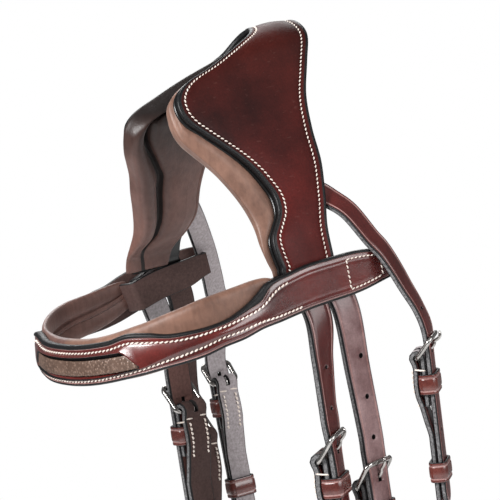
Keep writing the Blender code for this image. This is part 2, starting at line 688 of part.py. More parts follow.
def billet(name, label, part, buckle, rows):
    """A strap that leaves the wing's end, in front (-1) or behind (1), and turns to face its buckle."""
    side = SIDES[label]
    root, outward = arch(side * (SHELL_RUN[label] + SEAM), SHELL_LEATHER / 2)
    end = buckle.frame.to_translation()
    facing = buckle.frame.to_3x3() @ Vector((0.0, 0.0, 1.0))
    below = buckle.frame @ Vector((0.0, -BILLET_TAIL, 0.0))
    above, straight = (buckle.frame @ Vector((0.0, share * buckle.reach, 0.0)) for share in STRAIGHT_SHARES)
    loop_y = LOOP_LINE[label] + part * LOOP_PITCH / 2
    settled = Vector((side * STRAP_OUT, loop_y, level(BAND_LOOP_DROP + BAND_HEIGHT * BILLET_SETTLED_SHARE)))
    start = Vector((root.x, NECK_LINE[label] + part * (STRAP_WIDTH + SLIT_WIDTH) / 2, root.z))
    first = start + Vector((0.0, side, 0.0)).cross(outward) * LEATHER
    route = [(first, outward), (settled, Vector((side, 0.0, 0.0)))]
    route += [(settled.lerp(above, 0.5), (facing + Vector((side, 0.0, 0.0))).normalized()), (above, facing), (straight, facing)]
    route += [(end, facing), (below.lerp(end, 0.5), facing), (below, facing)]
    route = [(start, outward)] + smooth_route(route, rows)
    tip = STRAP_WIDTH / 2

    def width(i):
        left = (below - route[i][0]).length
        return STRAP_WIDTH * math.sqrt(max(BILLET_TIP_SHARE ** 2, 1 - max(0.0, 1 - left / tip) ** 2))

    body = strap(name, route, width, LEATHER)
    cut(body, buckle.add_billet_holes)


def cheek_and_nose_straps():
    kinds = (
        ("cheek", CHEEK_OUT, CHEEK_LINE, CHEEK_YAW, CHEEK_BAR_DROP, -1, cheekpiece),
        ("noseband", NOSE_STRAP_OUT, NOSE_LINE, NOSE_YAW, NOSE_BAR_DROP, 1, hanger))
    for label, side in SIDES.items():
        for kind, out, line, yaw, drop, part, make_lower in kinds:
            origin = Vector((side * out[label], line[label], level(drop[label])))
            frame = spot(origin, Vector((0.0, 0.0, 1.0)), yawed(side, yaw[label]))
            buckle = Buckle(f"{kind}_buckle_{label}", frame, STRAP_WIDTH, LEATHER)
            buckle.make()
            billet(f"{kind}_billet_{label}", label, part, buckle, 22)
            make_lower(label, side, buckle)


def lower_strap(name, buckle, below, width, thickness):
    """A route below the buckle, then the fold round the bar; below runs from the low end up."""
    low_y = -BILLET_TAIL
    fold = local_route(buckle.frame, buckle.fold_places(low_y))
    body = strap(name, below + fold, width, thickness)
    cut(body, buckle.add_slot)
    return body


def cheekpiece(label, side, buckle):
    """Lower cheek strap; its end is folded outward round the bit and held by a hook stud."""
    start = local_route(buckle.frame, buckle.fold_places(-BILLET_TAIL))[0]
    facing = Vector((side, 0.0, 0.0))
    up = Vector((0.0, 0.0, 1.0))
    foot = Vector((side * CHEEK_END_OUT, CHEEK_END_LINE, level(BIT_DROP)))
    outer = facing * (LEATHER + GAP)
    middle = foot + outer / 2
    rise = BIT_LOOP_RADIUS + LEATHER / 2
    loop = [(foot + outer, -facing)]
    for out, drop in BIT_LOOP_SHARES:
        arm = (facing * out - up * (drop - BIT_LOOP_CENTRE_SHARE)).normalized()
        loop.append((middle + (facing * out - up * drop) * rise, -arm))
    loop.append((foot, facing))
    fold = [(foot + outer + up * BIT_RETURN, -facing)] + smooth_route(loop, 22) + [(foot + up * BIT_RETURN, facing)]
    below = fold + smooth_route([(foot + up * 1.5 * BIT_RETURN, facing), start], 10)[:-1]
    lower_strap(f"cheekpiece_{label}", buckle, below, STRAP_WIDTH, LEATHER)


def hanger(label, side, buckle):
    """Lower noseband strap; its end lies on the outer face of the noseband."""
    start = local_route(buckle.frame, buckle.fold_places(-BILLET_TAIL))[0]
    facing = Vector((side, 0.0, 0.0))
    x = side * (NOSE_OUT + BAND_LEATHER / 2 + 3 * GAP + LEATHER / 2)
    foot = Vector((x, HANGER_LINE, level(NOSE_DROP + NOSE_HEIGHT / 2 - 2 * GAP)))
    knee = Vector((x, HANGER_LINE, level(NOSE_DROP - NOSE_HEIGHT)))
    low_knee = foot.lerp(knee, 2 / 3)
    run = smooth_route([(foot, facing), (low_knee, facing), (knee, facing), start], 16)[:-1]
    lower_strap(f"noseband_hanger_{label}", buckle, run, STRAP_WIDTH, LEATHER)


# Throatlatch

def throatlatch():
    buckles = {}
    for label, side in SIDES.items():
        origin = Vector((side * THROAT_OUT[label], THROAT_LINE[label], level(THROAT_BAR_DROP[label])))
        up = Vector((side * THROAT_LEAN, 0.0, 1.0))
        frame = spot(origin, up, yawed(side, THROAT_YAW[label]))
        buckle = Buckle(f"throat_buckle_{label}", frame, THROAT_WIDTH, THIN_LEATHER)
        buckle.make()
        buckles[label] = buckle
        facing = frame.to_3x3() @ Vector((0.0, 0.0, 1.0))
        flank = arch(side * WING_RUN / 2)[1]
        places = [Vector((side * out, line, level(drop))) for out, line, drop in THROAT_ROUTE[label]]
        points = [(place, flank.lerp(facing, n / (len(places) - 1))) for n, place in enumerate(places)]
        heights = [share * buckle.reach for share in STRAIGHT_SHARES]
        for y in (*heights, 0.0, -BILLET_TAIL / 2, -BILLET_TAIL):
            points.append((frame @ Vector((0.0, y, 0.0)), facing))
        body = strap(f"throat_billet_{label}", smooth_route(points, 24), THROAT_WIDTH, THIN_LEATHER)
        cut(body, buckle.add_billet_holes)
    left = local_route(buckles["left"].frame, buckles["left"].fold_places(-BILLET_TAIL))
    right = local_route(buckles["right"].frame, buckles["right"].fold_places(-BILLET_TAIL))
    bottom = []
    for step in range(1, THROAT_TURNS):
        angle = math.pi * step / THROAT_TURNS
        share = (1 - math.cos(angle)) / 2
        point = left[0][0].lerp(right[0][0], share)
        point.z -= THROAT_SAG * math.sin(angle)
        facing = left[0][1] if share < 1 / 2 else right[0][1]
        outward = facing * abs(math.cos(angle)) - Vector((0.0, 0.0, math.sin(angle)))
        bottom.append((point, outward))
    route = list(reversed(left)) + bottom + right
    body = strap("throat_strap", route, THROAT_WIDTH, THIN_LEATHER)

    def slots(bm):
        for buckle in buckles.values():
            buckle.add_slot(bm)

    cut(body, slots)


# Browband and noseband

def band_route(points, rows):
    """Level band: outward is square to the route and to +Z."""
    route = smooth_route([(Vector(p), Vector((1.0, 0.0, 0.0))) for p in points], rows)
    facing = []
    for i, (point, _) in enumerate(route):
        before, after = route[max(i - 1, 0)][0], route[min(i + 1, rows - 1)][0]
        facing.append((point, (after - before).cross(Vector((0.0, 0.0, 1.0))).normalized()))
    return facing


def run_from_middle(route):
    """Distance of each place from the middle of its route."""
    travelled = [0.0]
    for a, b in zip(route, route[1:]):
        travelled.append(travelled[-1] + (b[0] - a[0]).length)
    return [t - travelled[-1] / 2 for t in travelled]


def raised_band(name, route, heights, inlay_run, inlay_height, swell_run):
    """Band leather with a raised middle and a long recess for its inlay."""
    frames = frames_along(route)
    runs = run_from_middle(route)
    c = BAND_LEATHER * EDGE_SHARE

    def place(row, k):
        half = heights[row] / 2
        t = BAND_LEATHER / 2
        share = max(0.0, 1 - (abs(runs[row]) / swell_run) ** 4)
        swell = BAND_SWELL * math.sqrt(share)
        inside = max(0.0, 1 - (abs(runs[row]) / inlay_run) ** 4)
        recess = INLAY_RECESS * min(1.0, 4 * inside)
        rim = max(inlay_height / 2 * math.sqrt(inside), inlay_height / 8) + GAP
        face = [(half - c, 0.0), ((half + rim) / 2, swell * BAND_SHOULDER_SHARE), (rim + GAP, swell), (rim, swell - recess)]
        face += [(-rim, swell - recess), (-rim - GAP, swell), (-(half + rim) / 2, swell * BAND_SHOULDER_SHARE), (-half + c, 0.0)]
        ring = [(up, t + lift + GAP * (1 - (up / half) ** 2)) for up, lift in face]
        ring += [(-half, t - c), (-half, -t + c), (-half + c, -t), (half - c, -t), (half, -t + c), (half, t - c)]
        up, lift = ring[k]
        point, across, outward = frames[row]
        return point + across * up + outward * lift

    return wrapped(name, len(route), 14, place, "leather")


def inlay(name, route, run, height, swell_run):
    """The strip that fills the band's recess."""
    runs = run_from_middle(route)
    reach = run - 4 * GAP
    kept = [i for i, r in enumerate(runs) if abs(r) < reach]
    frames = frames_along(route)

    def place(row, k):
        i = kept[row]
        inside = max(0.0, 1 - (abs(runs[i]) / run) ** 4)
        half = max(height / 2 * math.sqrt(inside), height / 8)
        share = max(0.0, 1 - (abs(runs[i]) / swell_run) ** 4)
        floor = BAND_LEATHER / 2 + BAND_SWELL * math.sqrt(share) - INLAY_RECESS * min(1.0, 4 * inside) + 2 * GAP
        a, b = strap_section(2 * half, INLAY_THICKNESS)[k]
        point, across, outward = frames[i]
        return point + across * a + outward * (floor + INLAY_THICKNESS / 2 + b)

    return wrapped(name, len(kept), 4, place, "inlay")


def band_pad(name, route, height, depth, rows, reach):
    """Soft pad behind a band, with a rolled edge above and below and a crease between."""
    runs = run_from_middle(route)
    whole = [(runs[i], i) for i in range(len(runs))]
    frames = frames_along(route)

    def at(run):
        i = max(k for r, k in whole if r <= run or k == 0)
        i = min(i, len(runs) - 2)
        t = (run - runs[i]) / (runs[i + 1] - runs[i])
        return [frames[i][part].lerp(frames[i + 1][part], t) for part in range(3)]

    def place(row, k):
        run = reach * math.sin((2 * row / (rows - 1) - 1) * math.pi / 2)
        point, across, outward = at(run)
        ending = math.sqrt(max(0.0, 1 - (run / reach) ** 6))
        end_tall, end_deep = BAND_PAD_END_SHARES
        tall = height * (end_tall + (1 - end_tall) * ending)
        deep = depth * (end_deep + (1 - end_deep) * ending)
        rear, fore = BAND_PAD_MIDDLE_SHARES
        ring = [(-a, b) for a, b in BAND_PAD_SHARES] + [(0.0, rear)]
        ring += [(a, b) for a, b in reversed(BAND_PAD_SHARES)] + [(0.0, fore)]
        a, b = ring[k]
        return point + across * (a * tall) - outward * (BAND_LEATHER / 2 + GAP + b * deep)

    return wrapped(name, rows, 2 * len(BAND_PAD_SHARES) + 2, place, "pad")


def browband():
    out, front = BAND_OUT, BAND_FRONT
    sides = {}
    for label, side in SIDES.items():
        sides[label] = [(side * out * BAND_TIP_OUT_SHARE, BAND_BACK[label], level(BAND_LOOP_DROP))]
        for x, y, share in BAND_ROUTE_SHARES:
            sides[label].append((side * out * x, front * y, level(BAND_LOOP_DROP + BAND_FALL * share)))
    route = band_route(sides["right"] + [(0.0, front, level(BAND_LOOP_DROP + BAND_FALL))] + sides["left"][::-1], BAND_ROWS)
    runs = run_from_middle(route)
    end = runs[-1]
    heights = [BAND_HEIGHT * eased(BAND_HEIGHT_SHARES, abs(r) / end) for r in runs]
    raised = end * BAND_RAISED_SHARE
    raised_band("browband_leather", route, heights, INLAY_RUN, INLAY_HEIGHT, raised)
    inlay("browband_inlay", route, INLAY_RUN, INLAY_HEIGHT, raised)
    band_pad("browband_pad", route, BAND_PAD_HEIGHT, BAND_PAD_DEPTH, BAND_PAD_ROWS, end * BAND_PAD_SHARE)
    loop_backings(route, heights)


def loop_backings(route, heights):
    """The inner layer of each loop; the straps pass between it and the band."""
    inner = BAND_LEATHER / 2 + GAP + BACKING_LEATHER / 2
    clear = BAND_OUT - BAND_LEATHER / 2 - STRAP_OUT + LEATHER / 2 + 3 * PIPING_LEATHER
    for label, side in SIDES.items():
        picked = [i for i, (point, _) in enumerate(route) if side * point.x > 0 and point.y > LOOP_FRONT[label]]
        places = []
        sizes = []
        for n, i in enumerate(picked):
            open_share = min(1.0, LOOP_OPENING * math.sin(math.pi * n / (len(picked) - 1)))
            point, outward = route[i]
            places.append((point - outward * (inner + clear * open_share), outward))
            sizes.append(heights[i] * BACKING_HEIGHT_SHARE)
        strap(f"browband_loop_backing_{label}", places, lambda n: sizes[n], BACKING_LEATHER)


def noseband():
    points = [(-NOSE_OUT, NOSE_END), (-NOSE_OUT, (NOSE_END + NOSE_SIDE_FRONT) / 2)]
    depth = NOSE_SIDE_FRONT - NOSE_FRONT
    for step in range(NOSE_TURNS + 1):
        angle = math.pi * step / NOSE_TURNS
        points.append((-NOSE_OUT * math.cos(angle), NOSE_SIDE_FRONT - depth * math.sin(angle)))
    points += [(NOSE_OUT, (NOSE_END + NOSE_SIDE_FRONT) / 2), (NOSE_OUT, NOSE_END)]
    route = band_route([(x, y, level(NOSE_DROP)) for x, y in points], NOSE_ROWS)
    runs = run_from_middle(route)
    end = runs[-1]
    heights = [NOSE_HEIGHT * eased(NOSE_HEIGHT_SHARES, abs(r) / end) for r in runs]
    raised = end * NOSE_RAISED_SHARE
    raised_band("noseband_leather", route, heights, NOSE_INLAY_RUN, NOSE_INLAY_HEIGHT, raised)
    inlay("noseband_inlay", route, NOSE_INLAY_RUN, NOSE_INLAY_HEIGHT, raised)
    band_pad("noseband_pad", route, NOSE_PAD_HEIGHT, NOSE_PAD_DEPTH, BAND_PAD_ROWS, end * BAND_PAD_SHARE)
    chin_straps()


def chin_straps():
    """Straps sewn inside the noseband's ends, which meet at a buckle on the left."""
    z = level(NOSE_DROP)
    frame = spot(Vector((NOSE_OUT, CHIN_BAR_LINE, z)), Vector((0.0, 1.0, 0.0)), Vector((1.0, 0.0, 0.0)))
    buckle = Buckle("chin_buckle", frame, STRAP_WIDTH, LEATHER)
    buckle.make()
    low = CHIN_ROOT - CHIN_BAR_LINE
    body = strap("chin_buckle_strap", local_route(frame, buckle.fold_places(low)), STRAP_WIDTH, LEATHER)
    cut(body, buckle.add_slot)
    inner = NOSE_OUT - buckle.layer
    points = []
    tail = BILLET_TAIL - STRAP_WIDTH
    points.append((frame @ Vector((0.0, -tail, 0.0)), Vector((1.0, 0.0, 0.0))))
    points.append((frame @ Vector((0.0, -tail / 2, 0.0)), Vector((1.0, 0.0, 0.0))))
    points.append((frame.to_translation(), Vector((1.0, 0.0, 0.0))))
    points.append((frame @ Vector((0.0, FRAME_REACH, 0.0)), Vector((1.0, 0.0, 0.0))))
    turn_y = CHIN_BAR_LINE + FRAME_REACH * CHIN_TURN_SHARE
    points.append((Vector((NOSE_OUT, turn_y, z)), Vector((1.0, 0.0, 0.0))))
    for step in range(1, CHIN_TURNS):
        angle = math.pi * step / CHIN_TURNS
        out = Vector((math.cos(angle), math.sin(angle), 0.0))
        half = NOSE_OUT + (inner - NOSE_OUT) * step / CHIN_TURNS
        points.append((Vector((half * out.x, turn_y + (CHIN_REAR - turn_y) * out.y, z)), out))
    points.append((Vector((-inner, turn_y, z)), Vector((-1.0, 0.0, 0.0))))
    points.append((Vector((-inner, (turn_y + CHIN_ROOT) / 2, z)), Vector((-1.0, 0.0, 0.0))))
    points.append((Vector((-inner, CHIN_ROOT, z)), Vector((-1.0, 0.0, 0.0))))
    body = strap("chin_billet", smooth_route(points, 34), STRAP_WIDTH, LEATHER)
    cut(body, buckle.add_billet_holes)


def hook_studs():
    """Metal studs that hold the folded cheekpiece ends shut."""
    for label, side in SIDES.items():
        x = CHEEK_END_OUT + LEATHER * 1.5 + 2 * GAP
        centre = Vector((side * x, CHEEK_END_LINE, level(BIT_DROP) + STUD_DROP))
        mesh = bpy.data.meshes.new("stud")
        bm = bmesh.new()
        bmesh.ops.create_uvsphere(bm, u_segments=14, v_segments=8, radius=STUD_HEAD)
        bm.to_mesh(mesh)
        bm.free()
        add_object(f"hook_stud_{label}", mesh, "metal", Matrix.Translation(centre + Vector((side * STUD_HEAD, 0.0, 0.0))))


headpiece()
cheek_and_nose_straps()
throatlatch()
browband()
noseband()
hook_studs()
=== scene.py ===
"""Looks of the anatomic bridle: leather, padding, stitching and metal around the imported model.

Metres. +Z is up, -Y is the forehead side and +X is the horse's left side, as in the part's source.
"""
import math

import bmesh
import bpy
import numpy as np
from mathutils import Matrix, Vector


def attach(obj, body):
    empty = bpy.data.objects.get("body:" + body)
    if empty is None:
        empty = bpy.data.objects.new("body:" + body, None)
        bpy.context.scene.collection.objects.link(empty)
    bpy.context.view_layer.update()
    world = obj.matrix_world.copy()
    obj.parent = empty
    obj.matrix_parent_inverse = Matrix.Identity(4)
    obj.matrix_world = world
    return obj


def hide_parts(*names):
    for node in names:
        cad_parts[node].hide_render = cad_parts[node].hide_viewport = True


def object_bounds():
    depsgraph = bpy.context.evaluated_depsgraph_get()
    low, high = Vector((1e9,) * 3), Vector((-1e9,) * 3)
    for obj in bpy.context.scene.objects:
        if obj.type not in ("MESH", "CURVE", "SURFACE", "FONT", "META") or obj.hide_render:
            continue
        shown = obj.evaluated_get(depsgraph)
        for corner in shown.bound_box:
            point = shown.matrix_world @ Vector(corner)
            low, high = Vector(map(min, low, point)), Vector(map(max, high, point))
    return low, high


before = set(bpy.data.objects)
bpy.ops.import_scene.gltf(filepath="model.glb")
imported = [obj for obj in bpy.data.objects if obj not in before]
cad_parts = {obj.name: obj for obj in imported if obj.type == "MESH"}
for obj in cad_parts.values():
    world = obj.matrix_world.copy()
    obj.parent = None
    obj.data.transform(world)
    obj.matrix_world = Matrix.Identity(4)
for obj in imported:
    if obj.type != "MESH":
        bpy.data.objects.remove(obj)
cad_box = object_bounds()

# Sizes, most of them as in the part's source
GAP = 0.0003
LEATHER = 0.0036
THIN_LEATHER = 0.0028
STRAP_WIDTH = 0.016
THROAT_WIDTH = 0.013
SIDES = {"left": 1.0, "right": -1.0}
POLL_ANGLE = {"left": math.radians(65.0), "right": math.radians(60.5)}
POLL_RADIUS = {"left": 0.0243, "right": 0.0218}
FLANK_RUN = {"left": 0.082, "right": 0.108}
BEND_RADIUS = {"left": 0.13, "right": 0.061}
POLL_OUT = 0.006
SLIDE = 0.007
WING_RUN = 0.158
WING_REACH = 0.09
SHELL_RUN = {"left": 0.151, "right": 0.1405}
SHELL_LEATHER = 0.0032
PIPING_LEATHER = 0.002
CROWN_TOP = 0.009 + GAP + PIPING_LEATHER + GAP + SHELL_LEATHER
FRONT_AT_SHARES = (
    0.0, 0.06, 0.114, 0.171, 0.222, 0.26, 0.304, 0.353, 0.398, 0.443, 0.542, 0.604, 0.665, 0.711, 0.77, 0.811,
    0.85, 0.9, 1.0)
FRONT_EDGE_SHARES = {
    "left": tuple(zip(FRONT_AT_SHARES, (
        0.19, 0.225, 0.297, 0.473, 0.676, 0.869, 0.967, 0.99, 0.965, 0.9, 0.748, 0.677, 0.633, 0.612, 0.629,
        0.679, 0.728, 0.737, 0.711))),
    "right": tuple(zip(FRONT_AT_SHARES, (
        0.19, 0.225, 0.297, 0.473, 0.676, 0.84, 0.925, 0.935, 0.91, 0.865, 0.785, 0.745, 0.72, 0.71, 0.72,
        0.75, 0.785, 0.8, 0.8)))}
BACK_EDGE_SHARES = {
    "left": (
        (0.0, -0.12), (0.088, -0.105), (0.17, -0.08), (0.273, 0.011), (0.389, 0.113), (0.509, 0.169),
        (0.629, 0.202), (0.746, 0.269), (0.858, 0.336), (1.0, 0.356)),
    "right": (
        (0.0, -0.12), (0.088, -0.105), (0.17, -0.06), (0.273, 0.07), (0.389, 0.235), (0.459, 0.315),
        (0.568, 0.35), (0.684, 0.352), (0.746, 0.38), (0.797, 0.42), (0.858, 0.445), (1.0, 0.445))}
PAD_FRONT_SHARES = {
    "left": (
        (0.0, 0.175), (0.06, 0.215), (0.114, 0.295), (0.171, 0.475), (0.222, 0.68), (0.26, 0.865),
        (0.304, 0.965), (0.353, 1.0), (0.398, 1.012), (0.443, 0.998), (0.496, 0.94), (0.557, 0.87),
        (0.614, 0.822), (0.674, 0.783), (0.74, 0.757), (0.8, 0.752), (0.87, 0.768), (0.915, 0.772),
        (0.955, 0.755)),
    "right": (
        (0.0, 0.175), (0.06, 0.215), (0.114, 0.295), (0.171, 0.475), (0.222, 0.68), (0.26, 0.86),
        (0.304, 0.955), (0.345, 0.975), (0.398, 0.965), (0.443, 0.938), (0.496, 0.905), (0.566, 0.88),
        (0.652, 0.841), (0.743, 0.812), (0.812, 0.82), (0.857, 0.833), (0.915, 0.838), (0.955, 0.82))}
PAD_BACK_SHARES = {
    "left": (
        (0.0, -0.13), (0.088, -0.12), (0.17, -0.1), (0.273, -0.015), (0.389, 0.085), (0.509, 0.142),
        (0.629, 0.178), (0.746, 0.245), (0.82, 0.29), (0.87, 0.34), (0.915, 0.385), (0.955, 0.43)),
    "right": (
        (0.0, -0.13), (0.088, -0.12), (0.17, -0.075), (0.273, 0.08), (0.389, 0.28), (0.459, 0.365),
        (0.568, 0.4), (0.684, 0.398), (0.746, 0.43), (0.797, 0.465), (0.858, 0.5), (0.915, 0.53),
        (0.955, 0.56))}
CHANNEL_SHARES = (
    (0.0, 0.12), (0.12, 0.42), (0.17, 0.56), (0.21, 0.72), (0.24, 0.8), (0.27, 0.845), (0.3, 0.86),
    (0.35, 0.85), (0.4, 0.81), (0.46, 0.75), (0.527, 0.69), (0.6, 0.645), (0.668, 0.63), (0.73, 0.64),
    (0.787, 0.69), (0.836, 0.725), (0.9, 0.72))
WING_PAD_DEPTH = 0.0105
WING_PAD_END = 0.0013
SEAT_HALF = 0.021
SEAT_FADE = 0.03
SHELL_TAIL = 0.008
NECK_LINE = {"left": -0.048, "right": -0.056}
SLIT_WIDTH = 0.0016
SLIT_HOLE_DROP = 0.0026
SLIT_HOLE_RADIUS = 0.002
SEAM = 0.0008
LOOP_LINE = {"left": -0.0415, "right": -0.0465}
LOOP_PITCH = 0.018
LOOP_ENTRY = 0.004
STRAP_OUT = 0.0764
CHEEK_OUT = {"left": 0.0764, "right": 0.0764}
NOSE_STRAP_OUT = {"left": 0.0764, "right": 0.0945}
CHEEK_LINE = {"left": -0.053, "right": -0.048}
NOSE_LINE = {"left": -0.029, "right": -0.0325}
CHEEK_YAW = {"left": 38.0, "right": -7.0}
NOSE_YAW = {"left": 14.0, "right": -7.0}
CHEEK_BAR_DROP = {"left": 0.225, "right": 0.21}
NOSE_BAR_DROP = {"left": 0.246, "right": 0.232}
THROAT_BAR_DROP = {"left": 0.182, "right": 0.206}
THROAT_YAW = {"left": 42.0, "right": 5.0}
THROAT_OUT = {"left": 0.093, "right": 0.1}
THROAT_LINE = {"left": 0.005, "right": -0.006}
THROAT_LEAN = 0.05
THROAT_SAG = 0.082
WIRE = 0.0012
FRAME_REACH = 0.017
FRAME_SIDE_CLEARANCE = 0.0006
TONGUE_WIRE = 0.001
TIP_CLEARANCE = 0.0012
TONGUE_STEP_SHARES = ((0.22, -0.12), (0.34, 0.3), (0.45, 0.5), (0.56, 0.58))
FOLD_TAPER = 0.008
KEEPER_HEIGHT = 0.011
KEEPER_LEATHER = 0.0016
KEEPER_DROP = 0.014
KEEPER_ROOM = 0.0018
FOLD_RETURN = 0.026
MERGE_DROP = 0.042
RUNNER_DROP = 0.062
BILLET_TAIL = 0.08
HOLE_PITCH = 0.022
HOLES_ABOVE = {"cheek": 2, "noseband": 3, "throat": 2, "chin": 3}
HOLES_BELOW = 2
BAND_LEATHER = 0.0035
BAND_HEIGHT = 0.0225
BAND_SWELL = 0.0018
LOW_BEAD = 0.0015
BOX_INSET = 0.0033
BAND_OUT = 0.08
BAND_FRONT = -0.16
BAND_BACK = {"left": -0.004, "right": -0.0185}
BAND_LOOP_DROP = 0.1305
BAND_FRONT_DROP = 0.156
INLAY_RUN = 0.05
INLAY_HEIGHT = 0.0115
BAND_PAD_HEIGHT = 0.027
BAND_PAD_DEPTH = 0.0095
BACKING_LEATHER = 0.002
LOOP_BACK_WIDTH = 0.019
LOOP_FRONT = {"left": -0.077, "right": -0.074}
LOOP_STEEP = {"left": 3.0, "right": 4.5}
NOSE_OUT = 0.064
NOSE_FRONT = -0.142
NOSE_SIDE_FRONT = -0.078
NOSE_END = -0.026
NOSE_DROP = 0.413
NOSE_HEIGHT = 0.028
NOSE_PAD_HEIGHT = 0.032
NOSE_PAD_DEPTH = 0.011
NOSE_INLAY_RUN = 0.066
NOSE_INLAY_HEIGHT = 0.0145
CHIN_BAR_LINE = 0.051
CHIN_REAR = 0.105
CHIN_ROOT = -0.062
HANGER_LINE = -0.0345
CHEEK_END_LINE = -0.06
BIT_DROP = 0.49
BIT_LOOP_RADIUS = 0.0065
BIT_LOOP_CENTRE_SHARE = 1.3
BIT_LOOP_SHARES = ((0.62, 0.6), (1.0, 1.3), (0.72, 2.0), (0.0, 2.3), (-0.72, 2.0), (-1.0, 1.3), (-0.62, 0.6))
CHEEK_END_OUT = NOSE_OUT + BAND_LEATHER / 2 + LEATHER * 1.5 + 4 * GAP
BIT_RETURN = 0.04
BIT_RETURN_LOW = 0.003

# Stitching and edges
STITCH_PITCH = 0.0024
STITCH_LENGTH = 0.0021
STITCH_RADIUS = 0.00042
STITCH_LIFT = STITCH_RADIUS * 0.6
STITCH_INSET = 0.0047
CREASE_INSET = 0.0019
EDGE_ROUND = 0.0006

# Curves in millimetres: the throat billets' places (out, line, drop), and heights along the
# browband (run from its middle, height) of its cut edges, bead, stitch rows, sag and pad
MM = 0.001
THROAT_ROUTE = {
    "left": (
        (58.0, -25.4, 88.5), (60.5, -21.0, 92.5), (69.0, -15.7, 100.6), (78.5, -11.2, 115.0),
        (82.5, -7.6, 122.8), (86.0, -4.4, 132.4), (89.0, -0.8, 144.0), (91.9, 2.7, 155.0)),
    "right": (
        (52.5, -40.2, 89.1), (57.5, -34.5, 96.6), (64.0, -27.5, 107.4), (74.0, -18.0, 124.2),
        (82.0, -11.5, 137.6), (88.0, -7.0, 149.5), (93.0, -4.0, 161.1))}
HIGH_CUT = (
    (0, -0.8), (30, -1.4), (43, -3.0), (54, -0.8), (65, 3.1), (76, 5.3), (87, 6.9), (98, 7.3), (110, 4.7),
    (117, 1.8), (123, -1.2), (136, -1.4), (150, -2.2), (200, -2.2))
LOW_CUT = (
    (0, 1.8), (20, 2.0), (40, 2.9), (57, 2.9), (70, 2.1), (79, 1.7), (90, 1.9), (101, 1.0), (113, 1.0),
    (126, -0.6), (139, -1.4), (200, -1.4))
HIGH_BEAD = (
    (0, 2.3), (43, 2.4), (65, 1.9), (87, 1.5), (98, 1.6), (104, 2.0), (110, 2.8), (116, 4.3), (120, 4.0),
    (125, 2.3), (132, 1.4), (200, 1.6))
HIGH_ROW = (
    (0, 4.1), (43, 4.7), (54, 4.8), (65, 3.7), (76, 3.4), (87, 2.7), (98, 2.9), (104, 4.0), (110, 5.4),
    (116, 6.7), (122, 7.1), (128, 5.2), (135, 4.3), (200, 4.0))
LOW_ROW = (
    (0, 2.5), (40, 2.7), (52, 3.2), (64, 4.0), (79, 5.0), (100, 4.8), (113, 3.8), (126, 3.2), (200, 3.0))
FAR_SAG = (
    (-199, 0), (-190, 0.3), (-180, 2.2), (-170, 3.1), (-160, 4.0), (-150, 5.4), (-140, 6.4), (-130, 6.4),
    (-120, 5.7), (-110, 4.3), (-100, 2.6), (-85, 0.9), (-70, 0), (199, 0))
PAD_RISE = (
    (-20, 0), (0, 0.3), (20, 1.4), (43, 5.2), (54, 6.1), (65, 7.7), (76, 8.3), (87, 9.0), (98, 8.0),
    (110, 7.4), (118, 8.8), (126, 11.0))

UP = np.array([0.0, 0.0, 1.0])


# Materials

class Surface:
    """One material, with short helpers to lay its nodes."""

    def __init__(self, name, **values):
        self.material = bpy.data.materials.new(name)
        self.material.use_nodes = True
        self.tree = self.material.node_tree
        self.place = self.add("ShaderNodeTexCoord").outputs["Object"]
        self.finish(**values)

    def add(self, kind, **settings):
        node = self.tree.nodes.new(kind)
        for name, value in settings.items():
            setattr(node, name, value)
        return node

    def fill(self, node, **values):
        """Links inputs to sockets, or sets them to constants."""
        for name, value in values.items():
            self.give(node.inputs[name.replace("_", " ")], value)
        return node

    def give(self, socket, value):
        if hasattr(value, "links"):
            self.tree.links.new(value, socket)
        else:
            socket.default_value = value

    def finish(self, **values):
        self.fill(self.tree.nodes["Principled BSDF"], **values)
        return self.material

    def noise(self, scale, detail=3.0, rough=0.55, place=None):
        node = self.fill(self.add("ShaderNodeTexNoise"), Scale=scale, Detail=detail, Roughness=rough)
        return self.fill(node, Vector=place or self.place).outputs["Fac"]

    def cells(self, scale):
        node = self.fill(self.add("ShaderNodeTexVoronoi", feature="F1"), Scale=scale, Vector=self.place)
        return node.outputs["Distance"]

    def height(self, low, high):
        """0 at the low level and 1 at the high one."""
        z = self.fill(self.add("ShaderNodeSeparateXYZ"), Vector=self.place).outputs["Z"]
        spread = self.fill(self.add("ShaderNodeMapRange"), Value=z, From_Min=low, From_Max=high)
        return spread.outputs["Result"]

    def stretched(self, scale):
        return self.fill(self.add("ShaderNodeMapping"), Scale=scale, Vector=self.place).outputs["Vector"]

    def ramp(self, value, *stops):
        """Colour or grey along a value; stops are (place, colour)."""
        node = self.fill(self.add("ShaderNodeValToRGB"), Fac=value)
        elements = node.color_ramp.elements
        while len(elements) < len(stops):
            elements.new(0.5)
        for element, (at, colour) in zip(elements, stops):
            element.position = at
            rgb = colour if hasattr(colour, "__len__") else (colour, colour, colour)
            element.color = (*rgb, 1.0)
        return node.outputs["Color"]

    def mix(self, share, a, b, kind="MULTIPLY"):
        node = self.add("ShaderNodeMix", data_type="RGBA", blend_type=kind)
        for name, value in (("Factor", share), ("A", a), ("B", b)):
            socket = next(s for s in node.inputs if s.name == name and s.enabled)
            self.give(socket, (*value, 1.0) if isinstance(value, tuple) else value)
        return next(s for s in node.outputs if s.enabled)

    def bump(self, height, strength, distance, **normal):
        node = self.fill(self.add("ShaderNodeBump"), Strength=strength, Distance=distance, Height=height)
        return self.fill(node, **normal).outputs["Normal"]


